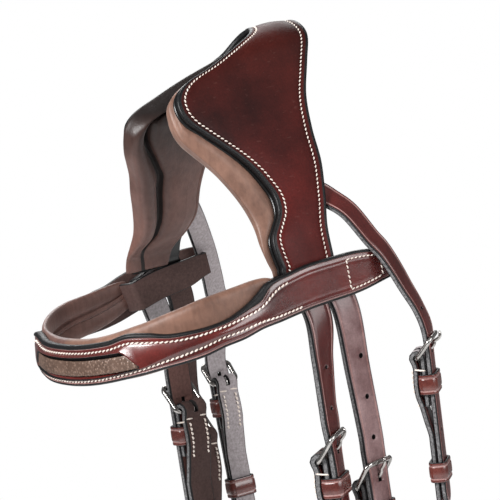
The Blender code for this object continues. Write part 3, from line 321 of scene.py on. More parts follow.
def leather_material(name, dark, light, rough, coat=0.25, grain=0.35, mottle=28.0, scuffs=0.0, fade=None):
    """Polished bridle leather: cloudy dye, fine pores and scuffs; fade paints light by height, top to bottom:
    a darker, greyer painted sheen and shade at the top and a brighter red lower down.
    """
    n = Surface(name)
    cloud = n.ramp(n.noise(mottle, 5.0, 0.6), (0.32, dark), (0.7, light))
    colour = n.mix(1.0, cloud, n.ramp(n.noise(900.0, 3.0, 0.6), (0.3, 0.8), (0.7, 1.12)))
    # Painted light by height: darker and greyer towards the top as painted shade and sheen, brighter lower
    # down.
    if fade:
        top = (fade[0] * 1.25, fade[0] * 1.9, fade[0] * 1.7)
        tint = n.ramp(n.height(-0.15, 0.02), (0.0, fade[2]), (0.45, fade[1]), (0.98, top))
        colour = n.mix(1.0, colour, tint)
    if scuffs:
        lines = n.noise(260.0, 2.0, 0.5, n.stretched((0.25, 1.0, 3.0)))
        colour = n.mix(n.ramp(lines, (0.66, 0.0), (0.72, scuffs)), colour, (0.3, 0.16, 0.13), "MIX")
    worn = n.ramp(n.noise(60.0, 4.0, 0.6), (0.3, rough - 0.06), (0.75, rough + 0.08))
    pores = n.bump(n.noise(1500.0, 4.0, 0.65), grain, 0.0001)
    relief = n.bump(n.noise(140.0, 3.0, 0.5), 0.25, 0.0004, Normal=pores)
    return n.finish(
        Base_Color=colour, Roughness=worn, Normal=relief, Coat_Weight=coat, Coat_Roughness=0.22,
        Specular_IOR_Level=0.12 + 0.8 * coat)


def edge_material(name, dark, light, rough, scale=1100.0):
    """Cut leather edge: paint over packed fibres. On the straps its grey is partly a painted highlight, and
    its black on the rounded corners is painted shade.
    """
    n = Surface(name)
    fibres = n.noise(scale, 5.0, 0.7)
    worn = n.ramp(n.noise(400.0, 3.0, 0.6), (0.3, rough - 0.08), (0.7, rough + 0.1))
    return n.finish(
        Base_Color=n.ramp(fibres, (0.3, dark), (0.72, light)), Roughness=worn,
        Normal=n.bump(fibres, 0.6, 0.00025), Specular_IOR_Level=0.28)


def pad_material(name, dark, light, rough=0.5, top=1.0):
    """Soft napa: warm cloudy colour and fine creases that run with the roll; top darkens it by height, as
    painted shade on its upper part.
    """
    n = Surface(name)
    cloud = n.ramp(n.noise(34.0, 5.0, 0.62), (0.3, dark), (0.72, light))
    creases = n.noise(420.0, 3.0, 0.6, n.stretched((1.0, 1.0, 0.35)))
    colour = n.mix(1.0, cloud, n.ramp(creases, (0.3, 0.82), (0.6, 1.06)))
    # Painted shade: the upper part darkens towards top.
    if top < 1.0:
        colour = n.mix(1.0, colour, n.ramp(n.height(-0.066, -0.016), (0.0, 1.0), (0.3, 0.8), (0.9, top)))
    worn = n.ramp(n.noise(90.0, 3.0, 0.5), (0.3, rough - 0.06), (0.7, rough + 0.08))
    pebble = n.bump(n.cells(900.0), 0.25, 0.00012)
    return n.finish(
        Base_Color=colour, Roughness=worn, Normal=n.bump(creases, 0.3, 0.00045, Normal=pebble),
        Sheen_Weight=0.12, Sheen_Roughness=0.45, Specular_IOR_Level=0.4)


def suede_material(name, dark, light, low=None):
    """The flesh side of a strap; low tints it under the browband."""
    n = Surface(name, Roughness=0.75, Specular_IOR_Level=0.35)
    fibres = n.noise(700.0, 5.0, 0.7)
    colour = n.ramp(fibres, (0.3, dark), (0.7, light))
    if low:
        colour = n.mix(1.0, colour, n.ramp(n.height(-0.165, -0.145), (0.1, low), (0.9, 1.0)))
    return n.finish(Base_Color=colour, Normal=n.bump(fibres, 0.45, 0.0002))


def thread_material():
    n = Surface("thread", Roughness=0.6)
    colour = n.ramp(n.noise(500.0, 2.0, 0.5), (0.3, (0.66, 0.56, 0.49)), (0.7, (0.84, 0.76, 0.69)))
    wave = n.add("ShaderNodeTexWave", wave_type="BANDS", bands_direction="DIAGONAL")
    twist = n.fill(wave, Scale=1500.0, Vector=n.place).outputs["Fac"]
    return n.finish(Base_Color=colour, Normal=n.bump(twist, 0.4, 0.0001))


def inlay_material():
    """Bronze embossed leather: small scattered raised dots with dark ground between."""
    n = Surface("inlay", Metallic=0.15, Specular_IOR_Level=0.6)
    relief = n.ramp(n.cells(620.0), (0.12, 1.0), (0.5, 0.0))
    cloud = n.ramp(n.noise(120.0, 3.0, 0.5), (0.3, (0.075, 0.043, 0.03)), (0.7, (0.135, 0.082, 0.06)))
    worn = n.ramp(n.noise(200.0, 2.0, 0.5), (0.3, 0.36), (0.7, 0.5))
    colour = n.mix(relief, cloud, (0.21, 0.132, 0.098), "MIX")
    return n.finish(Base_Color=colour, Roughness=worn, Normal=n.bump(relief, 0.7, 0.0003))


def metal_material():
    n = Surface("buckle_metal", Metallic=1.0)
    colour = n.ramp(n.noise(300.0, 3.0, 0.5), (0.3, (0.3, 0.285, 0.275)), (0.7, (0.5, 0.48, 0.46)))
    worn = n.ramp(n.noise(700.0, 3.0, 0.6), (0.3, 0.16), (0.7, 0.3))
    return n.finish(Base_Color=colour, Roughness=worn, Normal=n.bump(n.noise(260.0, 2.0, 0.5), 0.12, 0.0002))


# The shell's fade is painted light: darker and greyer at the top, brighter red lower down.
SHELL = leather_material(
    "shell_leather", (0.019, 0.003, 0.0028), (0.072, 0.0078, 0.0064), 0.5, 0.0, 0.3, 17.0, 0.06,
    (0.66, 1.4, 1.35))
STRAP = leather_material(
    "strap_leather", (0.05, 0.0075, 0.0065), (0.098, 0.016, 0.014), 0.31, 0.4, 0.25, 45.0)
BAND = leather_material(
    "band_leather", (0.046, 0.0058, 0.005), (0.125, 0.015, 0.0118), 0.22, 0.6, 0.22, 34.0, 0.06)
LOOPS = leather_material(
    "keeper_leather", (0.07, 0.0135, 0.011), (0.135, 0.031, 0.023), 0.25, 0.55, 0.3, 90.0)
# Light colour on the crease lines: painted highlight.
CREASE_HIGHLIGHT = leather_material("crease_painted_highlight", (0.22, 0.105, 0.095), (0.4, 0.235, 0.22), 0.3, 0.3, 0.15, 60.0)
# Lighter, greyer strap colour: a painted reflection.
STRAP_REFLECTION = leather_material("strap_painted_reflection", (0.125, 0.06, 0.06), (0.29, 0.185, 0.185), 0.38, 0.35, 0.3, 60.0)
PIPING = leather_material(
    "piping_leather", (0.0028, 0.0028, 0.003), (0.007, 0.0068, 0.007), 0.3, 0.25, 0.2, 60.0)
# Black edge paint; on the straps' rounded edge corners it also stands for painted shade.
RIM = edge_material("edge_paint_and_painted_shade", (0.0025, 0.0025, 0.003), (0.008, 0.008, 0.009), 0.42)
# Grey of the straps' cut edges, partly a painted highlight.
CUT = edge_material("cut_edge_and_painted_highlight", (0.012, 0.012, 0.013), (0.26, 0.255, 0.26), 0.5, 900.0)
PAD = pad_material("pad_leather", (0.105, 0.05, 0.034), (0.26, 0.138, 0.097))
# The pad's colours darkened for its inner panel: painted shade.
LINING_SHADE = pad_material("pad_inner_painted_shade", (0.07, 0.036, 0.026), (0.12, 0.066, 0.05))
# The pad's colours darkened for the far side as painted shade, with more painted shade at the top.
SHADE = pad_material("pad_far_painted_shade", (0.085, 0.04, 0.0325), (0.18, 0.089, 0.071), 0.42, 0.06)
# Near black for the pad's sewn channel: painted shade.
GROOVE_SHADE = pad_material("pad_channel_painted_shade", (0.006, 0.0035, 0.003), (0.016, 0.009, 0.0075), 0.6)
FLESH = suede_material("flesh_side", (0.034, 0.016, 0.0135), (0.07, 0.037, 0.032))
PALE = suede_material("pale_flesh_side", (0.22, 0.19, 0.194), (0.42, 0.38, 0.39))
HALF_PALE = suede_material(
    "half_pale_flesh_side", (0.19, 0.17, 0.172), (0.36, 0.33, 0.34), (0.32, 0.155, 0.125))
THREAD = thread_material()
INLAY = inlay_material()
METAL = metal_material()
# Near black for the walls of holes and slots: painted shade.
DARK = Surface("hole_wall_painted_shade", Roughness=0.8, Base_Color=(0.008, 0.006, 0.006, 1.0)).material
STRAP_MATERIALS = (STRAP, CREASE_HIGHLIGHT, CUT, FLESH, RIM)
PALE_MATERIALS = (STRAP, CREASE_HIGHLIGHT, CUT, PALE, RIM)
BAND_MATERIALS = (BAND, CREASE_HIGHLIGHT, RIM, RIM, FLESH)


# Curves through points

def eased(points, at):
    """Heights of a smooth curve through (along, height) points."""
    xs, ys = np.array(points, float).T
    low = np.maximum(np.arange(len(xs)) - 1, 0)
    high = np.minimum(np.arange(len(xs)) + 1, len(xs) - 1)
    slopes = (ys[high] - ys[low]) / (xs[high] - xs[low])
    at = np.clip(at, xs[0], xs[-1])
    i = np.clip(np.searchsorted(xs, at, side="right") - 1, 0, len(xs) - 2)
    run = xs[i + 1] - xs[i]
    t = (at - xs[i]) / run
    bend = slopes[i] * run * t * (1 - t) ** 2 - slopes[i + 1] * run * t * t * (1 - t)
    return ys[i] + (ys[i + 1] - ys[i]) * t * t * (3 - 2 * t) + bend


def eased_mm(table, at):
    """A curve of millimetres read at metres, in metres."""
    return MM * eased(table, at / MM)


def soft_step(x, low, high):
    t = np.clip((x - low) / (high - low), 0, 1)
    return t * t * (3 - 2 * t)


def cubic(a, b, c, d, t):
    """The smooth curve from b to c between its neighbours a and d."""
    return b + ((c - a) + (2 * a - 5 * b + 4 * c - d + (3 * b - a - 3 * c + d) * t) * t) * t / 2


def travelled(points):
    """Length along a line at each of its points."""
    return np.concatenate([[0], np.cumsum(np.linalg.norm(np.diff(points[:, :3], axis=0), axis=1))])


def read_off(want, along, rows):
    """Rows of numbers at the wanted places along them."""
    return np.stack([np.interp(want, along, column) for column in rows.T], axis=1)


def smoothed(points, count, looped=False):
    """Evenly spaced rows on a smooth curve through rows of numbers; length is measured on the first three."""
    points = np.array(points, float)
    size = len(points)
    t = np.linspace(0, 1, 16, endpoint=False)[:, None]
    fine = []
    for i in range(size if looped else size - 1):
        ids = [(i + k) % size if looped else min(max(i + k, 0), size - 1) for k in (-1, 0, 1, 2)]
        fine.append(cubic(*points[ids], t))
    fine.append(points[:1] if looped else points[-1:])
    fine = np.vstack(fine)
    along = travelled(fine)
    return read_off(np.linspace(0, along[-1], count + looped)[:count], along, fine)


def route_of(pairs, count):
    """Positions and outward directions along (point, outward) pairs."""
    rows = smoothed([[*p, *o] for p, o in pairs], count)
    return rows[:, :3], unit(rows[:, 3:])


def unit(v):
    return v / np.maximum(np.linalg.norm(v, axis=-1, keepdims=True), 1e-12)


def frames_along(points, outward, looped=False):
    """Across and outward directions at each row of a route."""
    if looped:
        along = unit(np.roll(points, -1, axis=0) - np.roll(points, 1, axis=0))
    else:
        along = unit(np.gradient(points, axis=0))
    across = unit(np.cross(along, outward))
    return across, np.cross(across, along)


# Meshes

def put(name, data):
    obj = bpy.data.objects.new(name, data)
    bpy.context.scene.collection.objects.link(obj)
    return obj


def shape(name, operation, **settings):
    """A mesh made by one bmesh operation."""
    bm = bmesh.new()
    operation(bm, **settings)
    mesh = bpy.data.meshes.new(name)
    bm.to_mesh(mesh)
    bm.free()
    return mesh


def pin(radius, depth, sides=20):
    cone = bmesh.ops.create_cone
    return shape("pin", cone, cap_ends=True, segments=sides, radius1=radius, radius2=radius, depth=depth)


def block(*sides):
    return shape("block", bmesh.ops.create_cube, size=1, matrix=Matrix.Diagonal((*sides, 1.0)))


def mesh_object(name, verts, faces, materials, face_materials):
    mesh = bpy.data.meshes.new(name)
    mesh.from_pydata([tuple(v) for v in verts], [], faces)
    for material in materials:
        mesh.materials.append(material)
    mesh.polygons.foreach_set("material_index", np.array(face_materials, np.int32))
    mesh.polygons.foreach_set("use_smooth", np.ones(len(faces), bool))
    mesh.update()
    return put(name, mesh)


def skin(name, rings, materials, ring_materials=0, looped=False):
    """A tube from rows of rings; ring_materials numbers the stretches' materials, one row or one for each."""
    rows, count = rings.shape[:2]
    picked = np.broadcast_to(ring_materials, (rows, count))
    faces = []
    kinds = []
    for i in range(rows if looped else rows - 1):
        a, b = i * count, ((i + 1) % rows) * count
        for k in range(count):
            j = (k + 1) % count
            faces.append((a + k, a + j, b + j, b + k))
            kinds.append(picked[i, k])
    if not looped:
        faces.append(tuple(range(count - 1, -1, -1)))
        faces.append(tuple((rows - 1) * count + k for k in range(count)))
        kinds += [picked[0, -1], picked[-1, -1]]
    obj = mesh_object(name, rings.reshape(-1, 3), faces, materials, kinds)
    bm = bmesh.new()
    bm.from_mesh(obj.data)
    bmesh.ops.recalc_face_normals(bm, faces=bm.faces)
    bm.to_mesh(obj.data)
    bm.free()
    return obj


def place_rings(points, across, outward, sections):
    """World rings from (across, outward) sections, one for all rows or one a row."""
    return points[:, None] + across[:, None] * sections[..., 0:1] + outward[:, None] * sections[..., 1:2]


def corner(cx, cy, r, start, steps=3):
    """Round corner as points, a quarter turn anticlockwise from start degrees."""
    angles = np.radians(start + np.linspace(0, 90, steps))
    return [(cx + r * math.cos(a), cy + r * math.sin(a)) for a in angles]


def strap_section(width, thickness, crease=CREASE_INSET, depth=0.00028, crown=0.00025):
    """Strap section with creased lines near both edges of its outer face.

    Materials: 0 face, 1 crease, light as a painted highlight, 2 edge, 3 flesh side, 4 the edge's rounded
    corners, black as painted shade.
    """
    w, t = width / 2, thickness / 2
    r = min(0.0008, t * 0.45)
    near, lip, top = 0.0004, t + 0.00005, t + crown * 0.8
    face = [(-w + r, t), (-w + crease - near, lip), (-w + crease, t - depth), (-w + crease + near, lip)]
    face += [(-w * 0.45, top), (0.0, t + crown), (w * 0.45, top)]
    face += [(w - crease - near, lip), (w - crease, t - depth), (w - crease + near, lip)]
    right = [(w - r, t), (w - r * 0.3, t - r * 0.3), (w, t - r), (w, -t + r), (w - r * 0.3, -t + r * 0.3)]
    low = [(w - r, -t), (0.0, -t), (-w + r, -t)]
    left = [(-w + r * 0.3, -t + r * 0.3), (-w, -t + r), (-w, t - r), (-w + r * 0.3, t - r * 0.3)]
    kinds = [0, 1, 1, 0, 0, 0, 0, 1, 1, 0, 4, 4, 2, 4, 4, 3, 3, 4, 4, 2, 4, 4]
    return np.array(face + right + low + left), kinds


def strap(name, points, outward, width, thickness, widths=1.0, materials=STRAP_MATERIALS, **creases):
    """A creased strap along a route; widths scales it row by row."""
    section, kinds = strap_section(width, thickness, **creases)
    sections = np.repeat(section[None], len(points), axis=0)
    sections[:, :, 0] *= np.broadcast_to(widths, len(points))[:, None]
    return skin(name, place_rings(points, *frames_along(points, outward), sections), materials, kinds)


def tipped(points, tip, width):
    """Width shares of a strap with a round tip."""
    left = np.linalg.norm(points - tip, axis=1) / (width * 0.55)
    return np.sqrt(np.maximum(0.02, 1 - np.maximum(0.0, 1 - left) ** 2.2))


def dress(obj, body, slot, *nodes):
    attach(obj, body)
    if nodes:
        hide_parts(*nodes)
    return obj


def cut_with(obj, cutters):
    """Boolean difference with cutter meshes, applied and tidied away."""
    bm = bmesh.new()
    for mesh, matrix in cutters:
        mesh.transform(matrix)
        bm.from_mesh(mesh)
        bpy.data.meshes.remove(mesh)
    joined = bpy.data.meshes.new("cutter")
    bm.to_mesh(joined)
    bm.free()
    # The cut faces take the near-black hole colour: painted shade.
    joined.materials.append(DARK)
    modifier = obj.modifiers.new("cut", "BOOLEAN")
    settings = dict(operation="DIFFERENCE", solver="EXACT", use_self=True, material_mode="TRANSFER")
    for name, value in settings.items():
        setattr(modifier, name, value)
    modifier.object = put("cutter", joined)
    done = bpy.data.meshes.new_from_object(obj.evaluated_get(bpy.context.evaluated_depsgraph_get()))
    bpy.data.objects.remove(modifier.object)
    obj.modifiers.clear()
    obj.data = done


# Stitching

class Stitches:
    """Collects single stitches into one mesh."""

    def __init__(self):
        self.verts = []
        self.faces = []

    def one(self, point, along, normal, length=STITCH_LENGTH, radius=STITCH_RADIUS):
        side = np.cross(normal, along)
        ring = [(math.cos(a), math.sin(a)) for a in np.linspace(0, 2 * math.pi, 6, endpoint=False)]
        start = len(self.verts)
        half = ((-1.0, 0.35, -0.9), (-0.72, 0.85, -0.15))
        for t, r, lift in (*half, (0.0, 1.0, 0.35), *((-t, r, lift) for t, r, lift in reversed(half))):
            centre = point + along * t * length / 2 + normal * lift * radius
            self.verts += [centre + side * c * r * radius + normal * s * r * radius for c, s in ring]
        for i in range(start, start + 24, 6):
            for k in range(6):
                j = (k + 1) % 6
                self.faces.append((i + k, i + j, i + 6 + j, i + 6 + k))
        self.faces.append(tuple(start + k for k in range(5, -1, -1)))
        self.faces.append(tuple(start + 24 + k for k in range(6)))

    def row(
            self, points, normals, pitch=STITCH_PITCH, slant=14.0, length=STITCH_LENGTH,
            radius=STITCH_RADIUS):
        """Slanted stitches along a line on a surface; one normal may serve the whole line."""
        points = np.asarray(points, float)
        along = travelled(points)
        count = max(2, int(along[-1] / pitch))
        at = (np.arange(count) + 0.5) * along[-1] / count
        spots = read_off(at, along, points)
        faces = unit(read_off(at, along, np.broadcast_to(normals, points.shape)))
        turn = math.radians(slant)
        for p, n, d in zip(spots, faces, unit(np.gradient(spots, axis=0))):
            d = unit(d - n * np.dot(d, n))
            self.one(p, d * math.cos(turn) + np.cross(n, d) * math.sin(turn), n, length, radius)

    def finish(self, name):
        dress(mesh_object(name, self.verts, self.faces, [THREAD], [0] * len(self.faces)), "bridle", "leather")


stitching = Stitches()


# Headpiece

def level(drop):
    return CROWN_TOP - drop


def arch(run, inward=0.0):
    """Points and outward normals of the arch at signed runs from the leather's middle."""
    run = np.atleast_1d(np.asarray(run, float))
    points = np.zeros((len(run), 3))
    outward = np.zeros((len(run), 3))
    for label, side in SIDES.items():
        along = run - SLIDE
        pick = along >= 0 if side > 0 else along < 0
        left = np.abs(along[pick])
        radius, bend = POLL_RADIUS[label], BEND_RADIUS[label]
        round_poll = np.minimum(left / radius, POLL_ANGLE[label])
        x = radius * np.sin(round_poll)
        drop = radius * (1 - np.cos(round_poll))
        left = left - radius * round_poll
        straight = np.minimum(left, FLANK_RUN[label])
        x = x + straight * np.cos(round_poll)
        drop = drop + straight * np.sin(round_poll)
        left = left - straight
        bent = np.where(straight > 0, np.minimum(left / bend, math.pi / 2 - round_poll), 0.0)
        slope = round_poll + bent
        x = x + bend * (np.sin(slope) - np.sin(round_poll))
        drop = drop + bend * (np.cos(round_poll) - np.cos(slope)) + left - bend * bent
        outward[pick] = np.stack([side * np.sin(slope), 0 * slope, np.cos(slope)], axis=1)
        points[pick] = np.stack([POLL_OUT + side * x, 0 * x, level(drop)], axis=1)
    return points - outward * np.broadcast_to(inward, run.shape)[:, None], outward


def edge_at(shares, run):
    left, right = (eased(shares[label], np.abs(run) / WING_RUN) for label in SIDES)
    return -WING_REACH * np.where(run >= 0, left, right)


def shell_rows(count):
    """Rows over both wings and down into the browband's loops: runs, places, normals and shifts along Y."""
    runs = np.linspace(-SHELL_RUN["right"], SHELL_RUN["left"], count)
    base, normal = arch(runs)
    shift = np.zeros(count)
    for label, side in SIDES.items():
        (end,), (out,) = arch(side * SHELL_RUN[label])
        start = np.array([end[0], NECK_LINE[label], end[2]])
        first = start + np.cross([0.0, side, 0.0], out) * LEATHER
        settled = (side * (STRAP_OUT + LEATHER / 2), LOOP_LINE[label], level(BAND_LOOP_DROP + LOOP_ENTRY))
        way = route_of([(start, out), (first, out), (settled, (side, 0.0, 0.0))], 40)
        want = np.linspace(0, SHELL_TAIL, 8)[1:]
        points, faces = (read_off(want, travelled(way[0]), rows) for rows in way)
        parts = (side * (SHELL_RUN[label] + want), points, faces, points[:, 1] - NECK_LINE[label])
        whole = (runs, base, normal, shift)
        pairs = zip(whole, parts) if side > 0 else zip([q[::-1] for q in parts], whole)
        runs, base, normal, shift = (np.concatenate(pair) for pair in pairs)
    return runs, base, normal, shift


def shell_lift(d):
    """Height of the outer face at a distance from the leather's nearer edge."""
    edge = 0.0012
    rounded = np.sqrt(np.maximum(0.0, edge ** 2 - (edge - np.minimum(d, edge)) ** 2)) - edge
    lift = np.where(d < edge, rounded, 0.0) - 0.00055 * np.exp(-((d - STITCH_INSET) / 0.00075) ** 2)
    return lift + 0.0011 * (1 - np.exp(-np.maximum(0.0, d - STITCH_INSET) / 0.0055))


def wing_rings(base, normal, ring):
    """Rings of (place along Y, lift off the base) pairs."""
    rings = np.zeros((len(base), len(ring), 3))
    for k, (y, lift) in enumerate(ring):
        rings[:, k] = base + normal * np.broadcast_to(lift, len(base))[:, None]
        rings[:, k, 1] = y
    return rings


def headpiece():
    runs, base, normal, shift = shell_rows(190)
    on_wing = np.clip(runs, -SHELL_RUN["right"], SHELL_RUN["left"])
    front, back = (edge_at(shares, on_wing) + shift for shares in (FRONT_EDGE_SHARES, BACK_EDGE_SHARES))
    insets = (
        0.0, 0.0002, 0.0006, 0.0012, 0.0022, 0.0032, 0.0039, 0.0043, 0.0047, 0.0051, 0.0055, 0.0062, 0.0075,
        0.0095, 0.012)
    top = [(front + d, shell_lift(d)) for d in insets]
    for share in (0.3, 0.4, 0.5, 0.6, 0.7):
        y = front + insets[-1] + (back - front - 2 * insets[-1]) * share
        top.append((y, shell_lift(np.minimum(y - front, back - y))))
    top += [(back - d, shell_lift(d)) for d in reversed(insets)]
    flesh = -SHELL_LEATHER
    under = [(0.0, flesh + 0.001), (0.0003, flesh + 0.0003), (0.001, flesh)]
    ring = top + [(back - d, lift) for d, lift in under] + [((front + back) / 2, flesh)]
    ring += [(front + d, lift) for d, lift in reversed(under)]
    kinds = [int(k < 4 or k > len(top) - 6) for k in range(len(ring))]
    shell = skin("headpiece_shell", wing_rings(base, normal, ring), (SHELL, RIM), kinds)
    (end,), (out,) = arch(SHELL_RUN["left"] + SLIT_HOLE_DROP)
    turn = Vector(out).to_track_quat("Z", "Y").to_matrix().to_4x4()
    middle = Vector((end[0], NECK_LINE["left"] + 0.0005, end[2]))
    cut_with(shell, [(pin(SLIT_HOLE_RADIUS, 0.02, 24), Matrix.Translation(middle) @ turn)])
    dress(shell, "bridle", "leather", "headpiece_leather")
    stitches = Stitches()
    for edge, sign in ((front, 1), (back, -1)):
        line = base + normal * (shell_lift(STITCH_INSET) + STITCH_LIFT)
        line[:, 1] = edge + sign * STITCH_INSET
        stitches.row(line, normal, slant=24.0 * sign)
    stitches.finish("headpiece_stitching")
    piping(base, normal, front, back)
    headpiece_pad()


def piping(base, normal, front, back):
    """The dark second layer, whose round edge shows past the shell."""
    base = base - normal * (SHELL_LEATHER + GAP)
    r = PIPING_LEATHER / 2
    ring = []
    for centre, start in ((front - 0.0003 + r, 90), (back + 0.001 - r, -90)):
        angles = np.radians(np.linspace(start, start + 180, 7))
        ring += [(centre + r * 1.35 * math.cos(a), -r + r * 1.12 * math.sin(a)) for a in angles]
    obj = skin("headpiece_piping", wing_rings(base, normal, ring), (PIPING,))
    dress(obj, "bridle", "dark_leather", "headpiece_backing")


def hump(x, middle, spread):
    return np.exp(-((x - middle) / spread) ** 2)


def headpiece_pad():
    """Soft rolled pad: a flat seat under the poll, and a roll, a sewn channel and a panel on each wing."""
    inward = SHELL_LEATHER + GAP + PIPING_LEATHER + GAP
    runs = np.linspace(-SHELL_RUN["right"] - 0.005, SHELL_RUN["left"] + 0.004, 170)
    base, normal = arch(runs, inward)
    off = np.abs(runs - SLIDE)
    seat_base, seat_out = arch(SLIDE + np.minimum(off, SEAT_HALF) * np.where(runs > SLIDE, 1, -1))
    seat = seat_base[:, 2] / seat_out[:, 2] - inward
    fade = np.clip((off - SEAT_HALF) / SEAT_FADE, 0, 1)
    ending = np.clip((np.minimum(runs[-1] - runs, runs - runs[0]) - 0.009) / 0.03, 0, 1)
    body = seat + (WING_PAD_DEPTH - seat) * fade
    depth = WING_PAD_END + (body - WING_PAD_END) * np.sin(ending * math.pi / 2)
    front, back = edge_at(PAD_FRONT_SHARES, runs), edge_at(PAD_BACK_SHARES, runs)
    near = runs > 0
    share = np.abs(runs) / WING_RUN
    shoulder = hump(share, 0.19, 0.1) * ~near
    front = front - 0.002 * hump(share, 0.31, 0.06) * near - 0.0048 * shoulder
    width = back - front
    front_roll = edge_at(FRONT_EDGE_SHARES, runs) + 0.005 - front
    front_roll = np.where(near, front_roll, -WING_REACH * eased(CHANNEL_SHARES, share) - front)
    front_roll = np.clip(front_roll, width / np.where(near, 8, 13), width / 2.6)
    puff = np.where(near, 0.0018 * np.clip((front_roll - 0.008) / 0.006, 0, 1), 0.0)
    back_roll = np.clip(back + 0.005 - edge_at(BACK_EDGE_SHARES, runs), width / 8, width / 4)
    fore = (
        (-0.02, 0.16), (0.0, 0.36), (0.06, 0.68), (0.2, 0.93), (0.42, 1.0), (0.64, 0.92), (0.82, 0.62),
        (0.95, 0.3), (1.05, 0.3), (1.18, 0.62), (1.45, 0.84), (1.9, 0.92))
    rear = (
        (0.0, 0.2), (0.04, 0.44), (0.12, 0.72), (0.3, 0.88), (0.5, 0.9), (0.66, 0.87), (0.8, 0.9),
        (1.2, 0.92), (1.8, 0.93))

    def shown(half):
        return [(a, d if a < 0.2 else d * fade + 1 - fade) for a, d in half]

    ring = []
    for a, d in shown(fore):
        ring.append((front + a * front_roll, 0.005 * shoulder * max(0.0, 1 - 2 * a) - depth * d))
    ring.append(((front + front_roll * 1.9 + back - back_roll * 1.8) / 2, -depth * 0.93))
    ring += [(back - a * back_roll, -depth * d) for a, d in reversed(shown(rear))]
    ring += [(back - back_roll * 0.25, -depth * 0.02), (back - width / 3, 0.0), (front + width / 3, 0.0)]
    ring.append((front + front_roll * 0.5 * near + (0.0046 + 0.2 * front_roll) * ~near, puff))
    ring.append((front + front_roll * 0.2, puff * 0.4 - depth * 0.02 + 0.0052 * shoulder))
    rings = round_rings(wing_rings(base, normal, ring), 3)
    # Painted shade round the ring: near black in the sewn channel, darker on the inner panel, and darker
    # copies over the whole far wing.
    kinds = np.zeros(rings.shape[:2], int)
    kinds[:, 20:26] = 2
    kinds[:, 26:-9] = 1
    kinds[~near] += 3
    obj = skin("headpiece_padding", rings, (PAD, LINING_SHADE, GROOVE_SHADE, SHADE, SHADE, GROOVE_SHADE), kinds)
    dress(obj, "bridle", "pad", "headpiece_pad")


def round_rings(coarse, times):
    """More points round each ring, on smooth curves."""
    t = (np.arange(times) / times)[None, None, :, None]
    fine = cubic(*(np.roll(coarse, -k, axis=1)[:, :, None, :] for k in (-1, 0, 1, 2)), t)
    return fine.reshape(coarse.shape[0], -1, 3)


# Buckles and the straps that meet at them

def spot(origin, up, outward):
    """Axes with Y up along a strap and Z out of its face."""
    up = Vector(up).normalized()
    outward = Vector(outward)
    outward = (outward - up * outward.dot(up)).normalized()
    turn = Matrix((up.cross(outward), up, outward)).transposed().to_4x4()
    return Matrix.Translation(Vector(origin)) @ turn


def yawed(side, degrees):
    angle = math.radians(degrees)
    return (side * math.cos(angle), math.sin(angle), 0.0)


def shifted(matrix, x=0.0, y=0.0, z=0.0):
    return matrix @ Matrix.Translation((x, y, z))


def turned(matrix, points):
    """World positions of local points."""
    return aimed(matrix, points) + np.array(matrix)[:3, 3]


def aimed(matrix, vectors):
    return np.asarray(vectors, float) @ np.array(matrix)[:3, :3].T


def wire(name, matrix, points, facing, wide, thick, sides, looped=False):
    """Round metal wire along a path of local points."""
    axes = frames_along(points, np.broadcast_to(facing, points.shape), looped)
    angles = np.linspace(0, 2 * math.pi, sides, endpoint=False)
    sections = np.stack([np.cos(angles) * wide[:, None], np.sin(angles) * thick[:, None]], axis=2)
    return skin(name, turned(matrix, place_rings(points, *axes, sections)), (METAL,), 0, looped)


